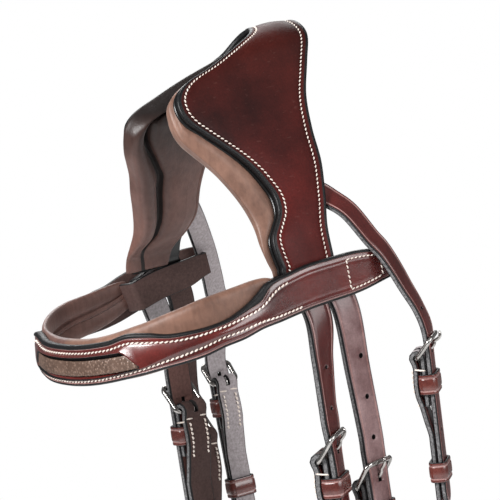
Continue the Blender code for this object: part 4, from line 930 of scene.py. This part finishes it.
class Buckle:
    """One buckle: frame, tongue, fixed keeper and runner."""

    def __init__(self, name, place, width, thickness):
        self.name = name
        self.place = place
        self.width = width
        self.thickness = thickness
        self.fold_radius = WIRE + GAP + thickness / 2
        self.layer = thickness + GAP
        self.bar = -(self.layer + self.fold_radius)
        self.reach = FRAME_REACH * width / STRAP_WIDTH
        self.tilt = math.asin((thickness / 2 + GAP + WIRE - self.bar) / self.reach)
        self.hinge = shifted(place, z=self.bar)
        self.facing = aimed(place, (0.0, 0.0, 1.0))

    def at(self, y):
        """A place on the strap, up from the bar."""
        return turned(self.place, (0.0, y, 0.0))

    def fold_pairs(self, low_y):
        """The lower strap's route: up from below, round the bar and down again between the layers."""
        near, far = -self.layer, -2 * self.layer
        places = [(low_y, near), (-MERGE_DROP - self.width / 3, near), (-MERGE_DROP, near)]
        places += [(-(MERGE_DROP + FOLD_RETURN) / 2 - GAP, (near + far) / 2), (-FOLD_RETURN, far)]
        places += [(-KEEPER_DROP - 0.0065, far - KEEPER_ROOM * 0.8), (-KEEPER_DROP, far - KEEPER_ROOM)]
        middle = (far + self.bar - self.fold_radius) / 2
        places += [(-FOLD_TAPER, far - KEEPER_ROOM * 0.7), (-FOLD_TAPER / 2, middle)]
        pairs = [(place, (0.0, 1.0)) for place in places]
        for i in range(9):
            cos, sin = math.cos(math.pi * i / 8), math.sin(math.pi * i / 8)
            pairs.append(((self.fold_radius * sin, self.bar - self.fold_radius * cos), (-sin, cos)))
        pairs += [((y, near), (0.0, -1.0)) for y in (-FOLD_TAPER / 2, -FOLD_TAPER, -FOLD_RETURN)]
        return [(turned(self.place, (0.0, *place)), aimed(self.place, (0.0, *face))) for place, face in pairs]

    def tongue_places(self):
        rise = -self.bar
        places = [(self.reach * TONGUE_STEP_SHARES[0][0] / 2, self.bar + rise / 2)]
        return places + [(self.reach * share, rise * lift) for share, lift in TONGUE_STEP_SHARES]

    def hole_cutters(self):
        steps = self.tongue_places()
        y = (steps[1][0] + steps[2][0]) / 2
        depth = 3 * self.thickness
        cutters = [(block(0.0024, 0.0042, depth), shifted(self.place, y=y))]
        radius = 0.0014 if self.name.startswith("noseband") else 0.001
        for step in range(-HOLES_BELOW, HOLES_ABOVE[self.name.split("_")[0]] + 1):
            if step:
                cutters.append((pin(radius, depth), shifted(self.place, y=y + step * HOLE_PITCH)))
        return cutters

    def slot_cutter(self):
        reach = self.fold_radius + self.thickness
        return (block(0.0027, 2 * reach, 2 * reach), shifted(self.hinge, y=reach - 0.0016))

    def make(self):
        self.make_frame()
        self.make_tongue()
        self.make_keeper("keeper", KEEPER_DROP, "bridle")
        self.make_keeper("runner", RUNNER_DROP, self.name + "_runner")
        self.make_stitches()

    def make_frame(self):
        """Drawn wire, a little flattened along its top bar."""
        r = 0.003
        x, y = self.width / 2 + FRAME_SIDE_CLEARANCE + WIRE - r, self.reach - r
        path = []
        for cx, cy, start in ((x, y, 0), (-x, y, 90), (-x, r, 180), (x, r, 270)):
            path += corner(cx, cy, r, start, 6)
        path = smoothed([(x, y, 0.0) for x, y in path], 96, True)
        cos, sin = math.cos(self.tilt), math.sin(self.tilt)
        share = np.clip((path[:, 1] / self.reach - 0.55) / 0.4, 0, 1)
        points = np.stack([path[:, 0], path[:, 1] * cos, path[:, 1] * sin], axis=1)
        sizes = WIRE * (1.14 + 0.24 * share), WIRE * (1.12 - 0.06 * share)
        obj = wire(self.name + "_ring", self.hinge, points, (0.0, -sin, cos), *sizes, 14, True)
        dress(obj, self.name + "_frame", "metal", self.name + "_frame")

    def make_tongue(self):
        """Round wire with an eye on the bar, a step through the slot and a tip over the frame."""
        eye = WIRE + GAP + TONGUE_WIRE
        angles = np.radians(np.linspace(-20, -270, 13))
        points = [(0.0, eye * math.cos(a), eye * math.sin(a)) for a in angles]
        points += [(0.0, y, z - self.bar) for y, z in self.tongue_places()]
        bar_y = self.reach * math.cos(self.tilt)
        over = self.thickness / 2 + GAP + 2.25 * WIRE + TONGUE_WIRE + TIP_CLEARANCE - self.bar
        points += [(0.0, bar_y * 0.86, over * 0.93), (0.0, bar_y, over), (0.0, bar_y + 0.0024, over + 0.0001)]
        points = smoothed(points, 70)
        size = TONGUE_WIRE * np.interp(
            np.linspace(0, 1, 70), [0, 0.5, 0.93, 0.98, 1.0], [0.95, 1.05, 0.85, 0.7, 0.25])
        obj = wire(self.name + "_pin", self.hinge, points, (1.0, 0.0, 0.0), size, size, 12)
        dress(obj, self.name + "_tongue", "metal", self.name + "_tongue")

    def make_keeper(self, label, drop, body):
        """A creased leather loop round the billet and the layers behind it."""
        half_x = self.width / 2 + GAP + KEEPER_LEATHER / 2
        top = self.thickness / 2 + GAP + KEEPER_LEATHER / 2
        bottom = -self.layer - top if label == "runner" else -1.5 * self.layer - KEEPER_ROOM / 2
        half_z = (top - bottom) / 2
        r = min(0.0025, half_z * 0.8)
        path = []
        for quarter, (sx, sz) in enumerate(((1, 1), (-1, 1), (-1, -1), (1, -1))):
            path += [(x, 0.0, z) for x, z in corner(sx * (half_x - r), sz * (half_z - r), r, 90 * quarter, 5)]
        points = smoothed(path, 72, True)
        side = points / np.array([half_x, 1.0, half_z])
        face = unit(np.sign(side) * np.abs(side) ** 5)
        face[:, 1] = 0.0
        section, kinds = strap_section(KEEPER_HEIGHT, KEEPER_LEATHER, 0.002, 0.00022, 0.0003)
        rings = place_rings(points, *frames_along(points, face, True), section)
        rings = turned(shifted(self.place, y=-drop, z=(top + bottom) / 2), rings)
        obj = skin(f"{self.name}_{label}_loop", rings, (LOOPS, CREASE_HIGHLIGHT, RIM, FLESH, RIM), kinds, True)
        dress(obj, body, "leather", f"{self.name}_{label}")

    def make_stitches(self):
        """Two rows down the inside of the fold, and the bars that bind its top."""
        y = np.linspace(-FOLD_TAPER + 0.0015, -FOLD_RETURN - 0.001, 30)
        room = KEEPER_ROOM * np.exp(-((y + KEEPER_DROP - 0.001) / 0.0085) ** 4)
        z = -2 * self.layer - self.thickness / 2 - room - STITCH_RADIUS
        for side in (-1, 1):
            edge = side * self.width / 2
            line = np.stack([np.full(30, edge - side * 0.0026), y, z], axis=1)
            stitching.row(turned(self.place, line), -self.facing, radius=0.0006)
            bar = turned(self.place, (edge - side * 0.003, -FOLD_TAPER + 0.0035, z[0] + 0.0004))
            stitching.one(bar, aimed(self.place, (1.0, 0.12, 0.0)), -self.facing, 0.0052, 0.00048)
            flank = turned(self.place, (edge + side * 0.0002, -FOLD_TAPER + 0.0018, -1.6 * self.layer))
            along, out = aimed(self.place, [(0.0, -0.15, 1.0), (side, 0.0, 0.0)])
            stitching.one(flank, along, out, 1.9 * self.layer, 0.0005)


def punched(name, points, faces, width, thickness, widths, buckle, materials=STRAP_MATERIALS, **creases):
    """A strap with a round tip and punched holes."""
    obj = strap(name, points, faces, width, thickness, widths, materials, **creases)
    cut_with(obj, buckle.hole_cutters())
    dress(obj, "bridle", "leather", name.replace("_strap", ""))


def folded(name, pairs, count, width, thickness, buckles, node, materials=STRAP_MATERIALS, **creases):
    """A strap that is folded round one or two buckles' bars, with slots for their tongues."""
    obj = strap(name, *route_of(pairs, count), width, thickness, 1.0, materials, **creases)
    cut_with(obj, [buckle.slot_cutter() for buckle in buckles])
    dress(obj, "bridle", "leather", node)


def billet(name, label, part, buckle):
    side = SIDES[label]
    (root,), (out,) = arch(side * (SHELL_RUN[label] + SEAM), SHELL_LEATHER / 2)
    facing = buckle.facing
    plain = np.array([side, 0.0, 0.0])
    eased_facing = unit(3 * facing + plain)
    heights = (1.8 * buckle.reach, 1.1 * buckle.reach, 0.0, -BILLET_TAIL)
    above, straight, end, below = (buckle.at(y) for y in heights)
    start = np.array([root[0], NECK_LINE[label] + part * (STRAP_WIDTH + SLIT_WIDTH) / 2, root[2]])
    first = start + np.cross([0.0, side, 0.0], out) * LEATHER
    entry = level(BAND_LOOP_DROP + BAND_HEIGHT * 0.8)
    settled = np.array([side * STRAP_OUT, LOOP_LINE[label] + part * LOOP_PITCH / 2, entry])
    pairs = [(start, out), (first, out), (settled, plain), ((settled + above) / 2, unit(facing + plain))]
    pairs += [(above, eased_facing), (straight, eased_facing)]
    pairs += [(end, facing), ((below + end) / 2, facing), (below, facing)]
    points, faces = route_of(pairs, 118)
    shown = np.linalg.norm(points - start, axis=1) > SHELL_TAIL - 0.001
    points, faces = points[shown], faces[shown]
    materials = STRAP_MATERIALS
    if name.startswith("cheek_billet_right"):
        materials = (STRAP, CREASE_HIGHLIGHT, CUT, HALF_PALE, RIM)
    if name.startswith("noseband_billet_left"):
        # This billet's face carries the painted reflection.
        materials = (STRAP_REFLECTION, *STRAP_MATERIALS[1:])
    punched(name, points, faces, STRAP_WIDTH, LEATHER, tipped(points, below, STRAP_WIDTH), buckle, materials)


def lower_strap(name, buckle, below, node):
    pairs = below + buckle.fold_pairs(-BILLET_TAIL)
    folded(name, pairs, 40 + 5 * len(pairs), STRAP_WIDTH, LEATHER, [buckle], node)


def cheekpiece(label, side, buckle):
    """Down from the buckle to the bit loop, with a stitched return; the round stud in it is the imported
    model's.
    """
    start, start_face = buckle.fold_pairs(-BILLET_TAIL)[0]
    facing = np.array([side, 0.0, 0.0])
    foot = np.array([side * CHEEK_END_OUT, CHEEK_END_LINE, level(BIT_DROP)])
    outer = facing * (LEATHER + GAP)
    rise = BIT_LOOP_RADIUS + LEATHER / 2
    heights = (BIT_RETURN, BIT_RETURN / 2, BIT_RETURN_LOW)
    loop = [(foot + outer + UP * z, -facing) for z in heights]
    for out, drop in BIT_LOOP_SHARES:
        arm = unit(facing * out - UP * (drop - BIT_LOOP_CENTRE_SHARE))
        loop.append((foot + outer / 2 + (facing * out - UP * drop) * rise, -arm))
    loop += [(foot + UP * z, facing) for z in reversed(heights)]
    knee = foot + UP * 1.5 * BIT_RETURN
    loop += [(knee, facing), ((knee + start) / 2, unit(facing + start_face))]
    lower_strap(f"cheekpiece_{label}_strap", buckle, loop, f"cheekpiece_{label}")
    for across in (-0.0059, 0.0059):
        edge = foot + outer + facing * (LEATHER / 2 + STITCH_LIFT) + np.array([0.0, across, 0.0])
        stitching.row(smoothed([edge + UP * z for z in (0.004, BIT_RETURN - 0.001)], 20), facing)


def hanger(label, side, buckle):
    """Down from the buckle to the noseband, and sewn to it."""
    start, start_face = buckle.fold_pairs(-BILLET_TAIL)[0]
    facing = np.array([side, 0.0, 0.0])
    x = side * (NOSE_OUT + BAND_LEATHER / 2 + 3 * GAP + LEATHER / 2)
    foot = np.array([x, HANGER_LINE, level(NOSE_DROP + NOSE_HEIGHT / 2 - 2 * GAP)])
    knee = np.array([x, HANGER_LINE, level(NOSE_DROP - NOSE_HEIGHT)])
    below = [(foot, facing), (foot + (knee - foot) * 2 / 3, facing), (knee, facing)]
    below.append(((knee + start) / 2, unit(facing + start_face)))
    lower_strap(f"noseband_hanger_{label}_strap", buckle, below, f"noseband_hanger_{label}")
    face = x + side * (LEATHER / 2 + STITCH_LIFT)
    corners = ((-1, -1), (1, -1), (1, 1), (-1, 1), (-1, -1))
    box = [(face, HANGER_LINE + a * 0.0058, level(NOSE_DROP) + b * 0.0095) for a, b in corners]
    for ends in zip(box, box[1:]):
        stitching.row(smoothed(ends, 12), facing, slant=12.0)


def cheek_and_nose_straps():
    kinds = (
        ("cheek", CHEEK_OUT, CHEEK_LINE, CHEEK_YAW, CHEEK_BAR_DROP, -1, cheekpiece),
        ("noseband", NOSE_STRAP_OUT, NOSE_LINE, NOSE_YAW, NOSE_BAR_DROP, 1, hanger))
    for label, side in SIDES.items():
        for kind, out, line, yaw, drop, part, make_lower in kinds:
            place = spot((side * out[label], line[label], level(drop[label])), UP, yawed(side, yaw[label]))
            buckle = Buckle(f"{kind}_buckle_{label}", place, STRAP_WIDTH, LEATHER)
            buckle.make()
            billet(f"{kind}_billet_{label}_strap", label, part, buckle)
            make_lower(label, side, buckle)


def throatlatch():
    sizes = THROAT_WIDTH, THIN_LEATHER
    creases = {"materials": PALE_MATERIALS, "crease": 0.0016}
    buckles = []
    for label, side in SIDES.items():
        origin = (side * THROAT_OUT[label], THROAT_LINE[label], level(THROAT_BAR_DROP[label]))
        place = spot(origin, (side * THROAT_LEAN, 0.0, 1.0), yawed(side, THROAT_YAW[label]))
        buckle = Buckle(f"throat_buckle_{label}", place, *sizes)
        buckle.make()
        buckles.append(buckle)
        facing = buckle.facing
        (flank,) = arch(side * WING_RUN / 2)[1]
        route = MM * np.array(THROAT_ROUTE[label])
        pairs = []
        for n, (out, line, drop) in enumerate(route):
            face = unit(flank + (facing - flank) * 0.8 * n / (len(route) - 1))
            pairs.append(((side * out, line, level(drop)), face))
        pairs.append((buckle.at(1.1 * buckle.reach), unit(4 * facing + flank)))
        pairs += [(buckle.at(y), facing) for y in (0.0, -BILLET_TAIL / 2, -BILLET_TAIL)]
        points, faces = route_of(pairs, 110)
        widths = tipped(points, points[-1], THROAT_WIDTH)
        punched(f"throat_billet_{label}_strap", points, faces, *sizes, widths, buckle, **creases)
    left, right = (buckle.fold_pairs(-BILLET_TAIL) for buckle in buckles)
    bottom = []
    for step in range(1, 26):
        angle = math.pi * step / 26
        share = (1 - math.cos(angle)) / 2
        point = left[0][0] * (1 - share) + right[0][0] * share - UP * THROAT_SAG * math.sin(angle)
        facing = (left if share < 1 / 2 else right)[0][1]
        bottom.append((point, facing * abs(math.cos(angle)) - UP * math.sin(angle)))
    folded("throat_lower_strap", left[::-1] + bottom + right, 300, *sizes, buckles, "throat_strap", **creases)


# Browband and noseband

def band_route(points, rows):
    points = smoothed(points, rows)
    return points, unit(np.cross(np.gradient(points, axis=0), UP))


def run_from_middle(points):
    along = travelled(points)
    return along - along[-1] / 2


class Band:
    """A raised band with bound edges, stitch rows and a recessed inlay.

    The edges are the heights of its top and bottom, the top bead's width and the stitch rows' insets, along
    the band or in one number. The cap is half the inlay's largest height.
    """

    def __init__(self, name, points, outward, edges, inlay_run, inlay_height, raised_run, cap):
        self.name = name
        self.points = points
        self.runs = run_from_middle(points)
        self.across, self.out = frames_along(points, outward)
        self.across = self.across * np.sign(self.across[len(points) // 2][2])
        self.high, self.low, self.bead, self.high_row, self.low_row = edges
        self.raised = 1 - soft_step(np.abs(self.runs), raised_run * 0.56, raised_run * 0.9)
        self.rim = BAND_LEATHER / 2 + BAND_SWELL * 0.25 * self.raised
        self.face = BAND_LEATHER / 2 + BAND_SWELL * self.raised
        self.cap = cap
        r = np.abs(self.runs)
        top = inlay_height / 2 * (1 - 2.1 * soft_step(r, inlay_run - 0.013, inlay_run))
        low = -inlay_height / 2 * (1 - 0.25 * soft_step(r, inlay_run - 0.02, inlay_run))
        self.inlaid = (r < inlay_run) & (top - low > 0.0012)
        pinch = low[self.inlaid][0] + 0.0006
        self.inlay_top = np.where(self.inlaid, top, pinch + 0.0006)
        self.inlay_low = np.where(self.inlaid, low, pinch - 0.0006)

    def make(self, node, inlay_node):
        """The ring runs from the high edge over bead, stitch row, inlay and low edge, and back underneath."""
        top, low, rim, face = self.inlay_top, self.inlay_low, self.rim, self.face
        high, under = self.high, -self.low
        flesh = -BAND_LEATHER / 2
        first, last = high - self.high_row - 0.0004, self.low_row + 0.0004 + under
        slope = rim + (face - rim) * 0.55
        groove = rim - 0.0003 * self.raised
        recess = 0.0016 * self.raised * self.inlaid * np.clip((top - low - 0.0012) / 0.003, 0, 1)
        inlay_end = np.abs(self.runs[self.inlaid]).max()
        hold = 1 - soft_step(np.abs(self.runs), inlay_end, inlay_end + 0.03)
        ring = [
            (high, flesh + EDGE_ROUND, 2), (high + 0.0002, 0.0, 2), (high, rim * 0.75, 2),
            (high - self.bead * 0.25, rim + 0.0001, 2), (high - self.bead * 0.6, rim + 0.0004, 2),
            (high - self.bead * 0.92, rim + 0.0001, 1), (high - self.bead - 0.0001, rim - 0.0002, 0),
            (high - self.bead - 0.0004, rim, 0), (first + 0.0008, rim + 0.0001, 0),
            (first + 0.0004, groove, 0), (first, rim + 0.0001, 0)]
        for up, share, lift, kind in (
                (np.maximum(first - 0.0011, top + 0.0014), 0.08, slope, 0), (top + 0.0011, 0.2, face, 0),
                (top + 0.0004, 0.32, face + recess * 0.2, 3), (top, 0.42, face - recess, 3),
                (top * 0.35 + low * 0.65, 0.5, face - recess, 0), (low, 0.58, face - recess, 3),
                (low - 0.0004, 0.68, face - recess * 0.06, 3), (low - 0.0011, 0.8, face, 0),
                (np.minimum(last + 0.0012, low - 0.0014), 0.92, slope, 0)):
            spread = first + (last - first) * share
            dome = rim + (face - rim) * (1 - abs(2 * share - 1) ** 2.4)
            held = np.clip(up, last + (1 - share) * 0.002, first - share * 0.002)
            ring.append((spread + (held - spread) * hold, dome + (lift - dome) * hold, kind * self.inlaid))
        ring += [(last, rim + 0.0001, 0), (last - 0.0004, groove, 0), (last - 0.0008, rim + 0.0001, 0)]
        for share, lift, kind in (
                (1.2, rim, 1), (1.0, rim - 0.0003, 1), (0.9, rim + 0.0001, 2), (0.6, rim + 0.0003, 2),
                (0.25, rim + 0.0001, 2), (0.0, rim * 0.75, 2)):
            ring.append((LOW_BEAD * share + under, lift, kind))
        ring += [(under - 0.0002, 0.0, 2), (under, flesh + EDGE_ROUND, 2), (under + EDGE_ROUND, flesh, 4)]
        ring.append((high - EDGE_ROUND, flesh, 4))
        self.dress_rings(self.name, ring, np.full(len(self.runs), True), BAND_MATERIALS, "leather", node)
        self.make_inlay(inlay_node)

    def dress_rings(self, name, ring, pick, materials, slot, node):
        """Skins the picked rows of (up, lift, kind) places."""
        size = len(self.runs)
        ups, lifts, kinds = (
            np.stack([np.broadcast_to(place[c], size)[pick] for place in ring], axis=1) for c in range(3))
        sections = np.stack([ups, lifts], axis=2)
        rings = place_rings(self.points[pick], self.across[pick], self.out[pick], sections)
        dress(skin(name, rings, materials, kinds), "bridle", slot, node)

    def make_inlay(self, node):
        top = np.minimum(self.inlay_top, self.cap) - 0.0002
        low = np.maximum(self.inlay_low, -self.cap) + 0.0002
        middle, size = (top + low) / 2, (top - low) / 2
        half = [(1.0, 0.0), (0.97, 0.7), (0.8, 0.95), (0.4, 1.05)]
        ring = []
        for share, rise in (*half, (0.0, 1.08), *((-share, rise) for share, rise in reversed(half))):
            ring.append((middle + size * share, self.face - 0.0014 + 0.0009 * rise, 0))
        self.dress_rings(self.name + "_inlay", ring, self.inlaid, (INLAY,), "inlay", node)

    def line(self, up, lift, low, high):
        """Points and normals of a line along the band between two signed runs."""
        pick = (self.runs >= low) & (self.runs <= high)
        points = self.points + self.across * up[:, None] + self.out * np.reshape(lift, (-1, 1))
        return points[pick], self.out[pick]

    def stitch(self, top_end, low_end):
        """Long stitches beside both edges, out to a run each."""
        lift = self.rim + STITCH_RADIUS * 0.55
        for up, end in ((self.high - self.high_row, top_end), (self.low_row - self.low, low_end)):
            stitching.row(*self.line(up, lift, -end, end), 0.0026, 20.0, 0.0023, 0.00048)

    def stitch_box(self, low, high):
        """Four rows of stitches between two signed runs, where the loop backing is sewn on."""
        lift = BAND_LEATHER / 2 + STITCH_LIFT
        edges = (self.high - BOX_INSET, BOX_INSET - self.low)
        for up in edges:
            stitching.row(*self.line(up, lift, low, high), 0.0025)
        for at in (low, high):
            i = int(np.argmin(np.abs(self.runs - at)))
            ups = np.linspace(edges[1][i], edges[0][i], 12)
            line = self.points[i] + self.across[i] * ups[:, None] + self.out[i] * lift
            stitching.row(line, self.out[i], 0.0025)


def pad_behind(
        name, points, outward, height, depth, reach, node, rise=lambda run: 0 * run, cut=0.0, thin=0.0):
    """Soft pad behind a band with rolled edges and a sewn crease between."""
    rows = 120
    swing = np.sin(np.linspace(-1, 1, rows) * math.pi / 2)
    want = (reach[0] + reach[1]) / 2 + (reach[1] - reach[0]) / 2 * swing
    across, out = frames_along(points, outward)
    across = across * np.sign(across[len(points) // 2][2])
    runs = run_from_middle(points)
    centre, across, out = (read_off(want, runs, values) for values in (points, across, out))
    across, out = unit(across), unit(out)
    ending = np.sqrt(np.maximum(0.0, 1 - swing ** 6))
    tall = height * (0.55 + 0.45 * ending)
    deep = depth * (0.3 + 0.7 * ending) * (1 - thin * soft_step(-want, 0.0, 0.06))
    half = (
        (0.3, 0.0), (0.42, 0.02), (0.485, 0.16), (0.51, 0.42), (0.48, 0.74), (0.4, 0.94), (0.29, 0.98),
        (0.19, 0.86), (0.13, 0.6))
    ring = [(-a, b) for a, b in half] + [(-0.07, 0.82), (0.0, 0.88), (0.07, 0.82)]
    ring += [*reversed(half), (0.0, 0.02)]
    coarse = np.zeros((rows, len(ring), 3))
    for k, (a, b) in enumerate(ring):
        up = a * tall + max(a, 0.0) * rise(want) * ending + (cut if a < 0 else 0)
        coarse[:, k] = centre + across * up[:, None] - out * (BAND_LEATHER / 2 + GAP + b * deep)[:, None]
    rings = round_rings(coarse, 3)
    kinds = np.zeros(rings.shape[:2], int)
    # With thin set, the far half takes the darker far pad colours: painted shade.
    kinds[want < -0.012] = thin > 0
    obj = skin(name, rings, (PAD, SHADE), kinds)
    dress(obj, "bridle", "pad", node)


def browband():
    fall = BAND_FRONT_DROP - BAND_LOOP_DROP
    half = (
        (0.995, 0.19, 0.04), (1.005, 0.38, 0.1), (1.0, 0.54, 0.28), (0.9, 0.75, 0.6), (0.64, 0.905, 0.85),
        (0.31, 0.98, 0.97))
    sides = {}
    for label, side in SIDES.items():
        sides[label] = [(side * BAND_OUT * 0.99, BAND_BACK[label], level(BAND_LOOP_DROP))]
        for x, y, share in half:
            sides[label].append((side * BAND_OUT * x, BAND_FRONT * y, level(BAND_LOOP_DROP + fall * share)))
    middle = (0.0, BAND_FRONT, level(BAND_FRONT_DROP))
    points, outward = band_route([*sides["right"], middle, *sides["left"][::-1]], 420)
    points[:, 2] -= eased_mm(FAR_SAG, run_from_middle(points))
    runs = run_from_middle(points)
    end = runs[-1]
    shares = ((0.0, 1.0), (0.5, 0.97), (0.66, 0.88), (0.8, 0.84), (0.9, 0.8), (1.0, 0.55))
    heights = BAND_HEIGHT * eased(shares, np.abs(runs) / end)
    edges = [eased_mm(table, np.abs(runs)) for table in (HIGH_CUT, LOW_CUT, HIGH_BEAD, HIGH_ROW, LOW_ROW)]
    edges[:2] = heights / 2 - edges[0], heights / 2 - edges[1]
    band = Band("browband_face", points, outward, edges, INLAY_RUN, INLAY_HEIGHT, end * 0.72, heights * 0.19)
    band.make("browband_leather", "browband_inlay")
    band.stitch(0.1345, 0.14)
    for side in (-1, 1):
        band.stitch_box(*sorted((side * end * 0.865, side * end * 0.975)))
    pad_behind(
        "browband_padding", points, outward, BAND_PAD_HEIGHT, BAND_PAD_DEPTH, (-0.148, 0.1315),
        "browband_pad", lambda run: eased_mm(PAD_RISE, run), 0.0044, 0.6)
    inner = BAND_LEATHER / 2 + GAP + BACKING_LEATHER / 2
    clear = BAND_OUT - BAND_LEATHER / 2 - STRAP_OUT + LEATHER / 2 + 3 * PIPING_LEATHER
    for label, side in SIDES.items():
        pick = (side * points[:, 0] > 0) & (points[:, 1] > LOOP_FRONT[label])
        share = np.linspace(0, 1, int(pick.sum()))
        opened = soft_step(LOOP_STEEP[label] * np.sin(math.pi * share), 0, 1)
        centre = points[pick] - outward[pick] * (inner + clear * opened)[:, None]
        obj = strap(
            f"browband_loop_{label}", centre, outward[pick], LOOP_BACK_WIDTH, BACKING_LEATHER,
            heights[pick] * 0.88 / LOOP_BACK_WIDTH, (STRAP, CREASE_HIGHLIGHT, RIM, FLESH, RIM),
            crease=0.0017, depth=0.0001, crown=0.0)
        dress(obj, "bridle", "leather", f"browband_loop_backing_{label}")


def noseband():
    arc = 8
    depth = NOSE_SIDE_FRONT - NOSE_FRONT
    z = level(NOSE_DROP)
    points = [(-NOSE_OUT, NOSE_END, z), (-NOSE_OUT, (NOSE_END + NOSE_SIDE_FRONT) / 2, z)]
    for step in range(arc + 1):
        angle = math.pi * step / arc
        points.append((-NOSE_OUT * math.cos(angle), NOSE_SIDE_FRONT - depth * math.sin(angle), z))
    points += [(NOSE_OUT, (NOSE_END + NOSE_SIDE_FRONT) / 2, z), (NOSE_OUT, NOSE_END, z)]
    points, outward = band_route(points, 360)
    runs = run_from_middle(points)
    end = runs[-1]
    shares = ((0.0, 1.0), (0.5, 0.98), (0.75, 0.8), (0.9, 0.7), (1.0, 0.62))
    heights = NOSE_HEIGHT * eased(shares, np.abs(runs) / end)
    edges = (heights / 2, heights / 2, 0.0026, 0.0043, 0.0044)
    band = Band(
        "noseband_face", points, outward, edges, NOSE_INLAY_RUN, NOSE_INLAY_HEIGHT, end * 0.7, heights * 0.19)
    band.make("noseband_leather", "noseband_inlay")
    band.stitch(end * 0.66, end * 0.66)
    reach = (-end * 0.63, end * 0.63)
    pad_behind("noseband_padding", points, outward, NOSE_PAD_HEIGHT, NOSE_PAD_DEPTH, reach, "noseband_pad")
    chin_straps()


def chin_straps():
    z = level(NOSE_DROP)
    place = spot((NOSE_OUT, CHIN_BAR_LINE, z), (0.0, 1.0, 0.0), (1.0, 0.0, 0.0))
    buckle = Buckle("chin_buckle", place, STRAP_WIDTH, LEATHER)
    buckle.make()
    pairs = buckle.fold_pairs(CHIN_ROOT - CHIN_BAR_LINE)
    folded("chin_buckle_strap_leather", pairs, 130, STRAP_WIDTH, LEATHER, [buckle], "chin_buckle_strap")
    inner = NOSE_OUT - buckle.layer
    plain = np.array([1.0, 0.0, 0.0])
    tail = BILLET_TAIL - STRAP_WIDTH
    pairs = [(buckle.at(y), plain) for y in (-tail, -tail / 2, 0.0, FRAME_REACH)]
    turn_y = CHIN_BAR_LINE + FRAME_REACH * 1.6
    pairs.append(((NOSE_OUT, turn_y, z), plain))
    for step in range(1, 8):
        cos, sin = math.cos(math.pi * step / 8), math.sin(math.pi * step / 8)
        half = NOSE_OUT + (inner - NOSE_OUT) * step / 8
        pairs.append(((half * cos, turn_y + (CHIN_REAR - turn_y) * sin, z), (cos, sin, 0.0)))
    pairs += [((-inner, y, z), -plain) for y in (turn_y, (turn_y + CHIN_ROOT) / 2, CHIN_ROOT)]
    points, faces = route_of(pairs, 200)
    widths = tipped(points, points[0], STRAP_WIDTH)
    punched("chin_billet_strap", points, faces, STRAP_WIDTH, LEATHER, widths, buckle)


# Camera, light and floor

def camera():
    """The photograph's angle: from the front left, a little above, and rolled."""
    azimuth, elevation, roll = np.radians((57.0, 7.6, 9.0))
    target = Vector((0.0, -0.036, CROWN_TOP - 0.119))
    flat = math.cos(elevation)
    back = Vector((math.sin(azimuth) * flat, -math.cos(azimuth) * flat, math.sin(elevation)))
    right = Vector((math.cos(azimuth), math.sin(azimuth), 0.0))
    up = back.cross(right)
    data = bpy.data.cameras.new("camera")
    data.sensor_width = 36.0
    data.lens = 1.84 * 1600.0 / 500.0 * data.sensor_width
    data.clip_end = 20.0
    obj = put("camera", data)
    cos, sin = math.cos(roll), math.sin(roll)
    rolled = (right * cos - up * sin, right * sin + up * cos, back)
    obj.matrix_world = Matrix.Translation(target + back * 1.6) @ Matrix(rolled).transposed().to_4x4()
    bpy.context.scene.camera = obj
    return right, back


def lamp(name, place, aim, size, power):
    data = bpy.data.lights.new(name, "AREA")
    data.shape = "RECTANGLE"
    data.size, data.size_y = size
    data.energy = power
    obj = put(name, data)
    obj.location = place
    obj.rotation_euler = (Vector(place) - Vector(aim)).to_track_quat("Z", "Y").to_euler()


def studio():
    """White to the camera and dimmer to everything else, with three soft lamps and a pale round floor."""
    right, back = camera()
    world = bpy.data.worlds.new("studio")
    world.use_nodes = True
    nodes, links = world.node_tree.nodes, world.node_tree.links
    strength = nodes.new("ShaderNodeMix")
    strength.data_type = "FLOAT"
    strength.inputs["A"].default_value = 0.17
    strength.inputs["B"].default_value = 1.0
    links.new(nodes.new("ShaderNodeLightPath").outputs["Is Camera Ray"], strength.inputs["Factor"])
    links.new(strength.outputs["Result"], nodes["Background"].inputs["Strength"])
    nodes["Background"].inputs["Color"].default_value = (1.0, 1.0, 1.0, 1.0)
    bpy.context.scene.world = world
    bpy.context.scene.view_settings.view_transform = "Standard"
    centre = Vector((0.0, -0.05, -0.12))
    lamp("key", centre - right * 0.9 + back * 0.9 + Vector((0, 0, 0.75)), centre, (0.6, 0.6), 40.0)
    lamp("fill", centre + right * 1.1 + back * 0.8 + Vector((0, 0, 0.25)), centre, (0.9, 0.9), 14.0)
    lamp("rim", centre - back * 1.0 + Vector((0, 0, 0.9)), centre, (0.9, 0.6), 9.0)
    mesh = shape("floor", bmesh.ops.create_circle, cap_ends=True, segments=96, radius=0.85)
    mesh.materials.append(Surface("floor_paint", Roughness=0.8, Base_Color=(0.86, 0.86, 0.86, 1.0)).material)
    floor = put("floor", mesh)
    floor.location = (0.0, 0.0, cad_box[0][2] - 0.02)


headpiece()
cheek_and_nose_straps()
throatlatch()
browband()
noseband()
stitching.finish("strap_stitching")
for name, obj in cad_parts.items():
    if name.startswith("hook_stud"):
        obj.data.materials.clear()
        obj.data.materials.append(METAL)
studio()
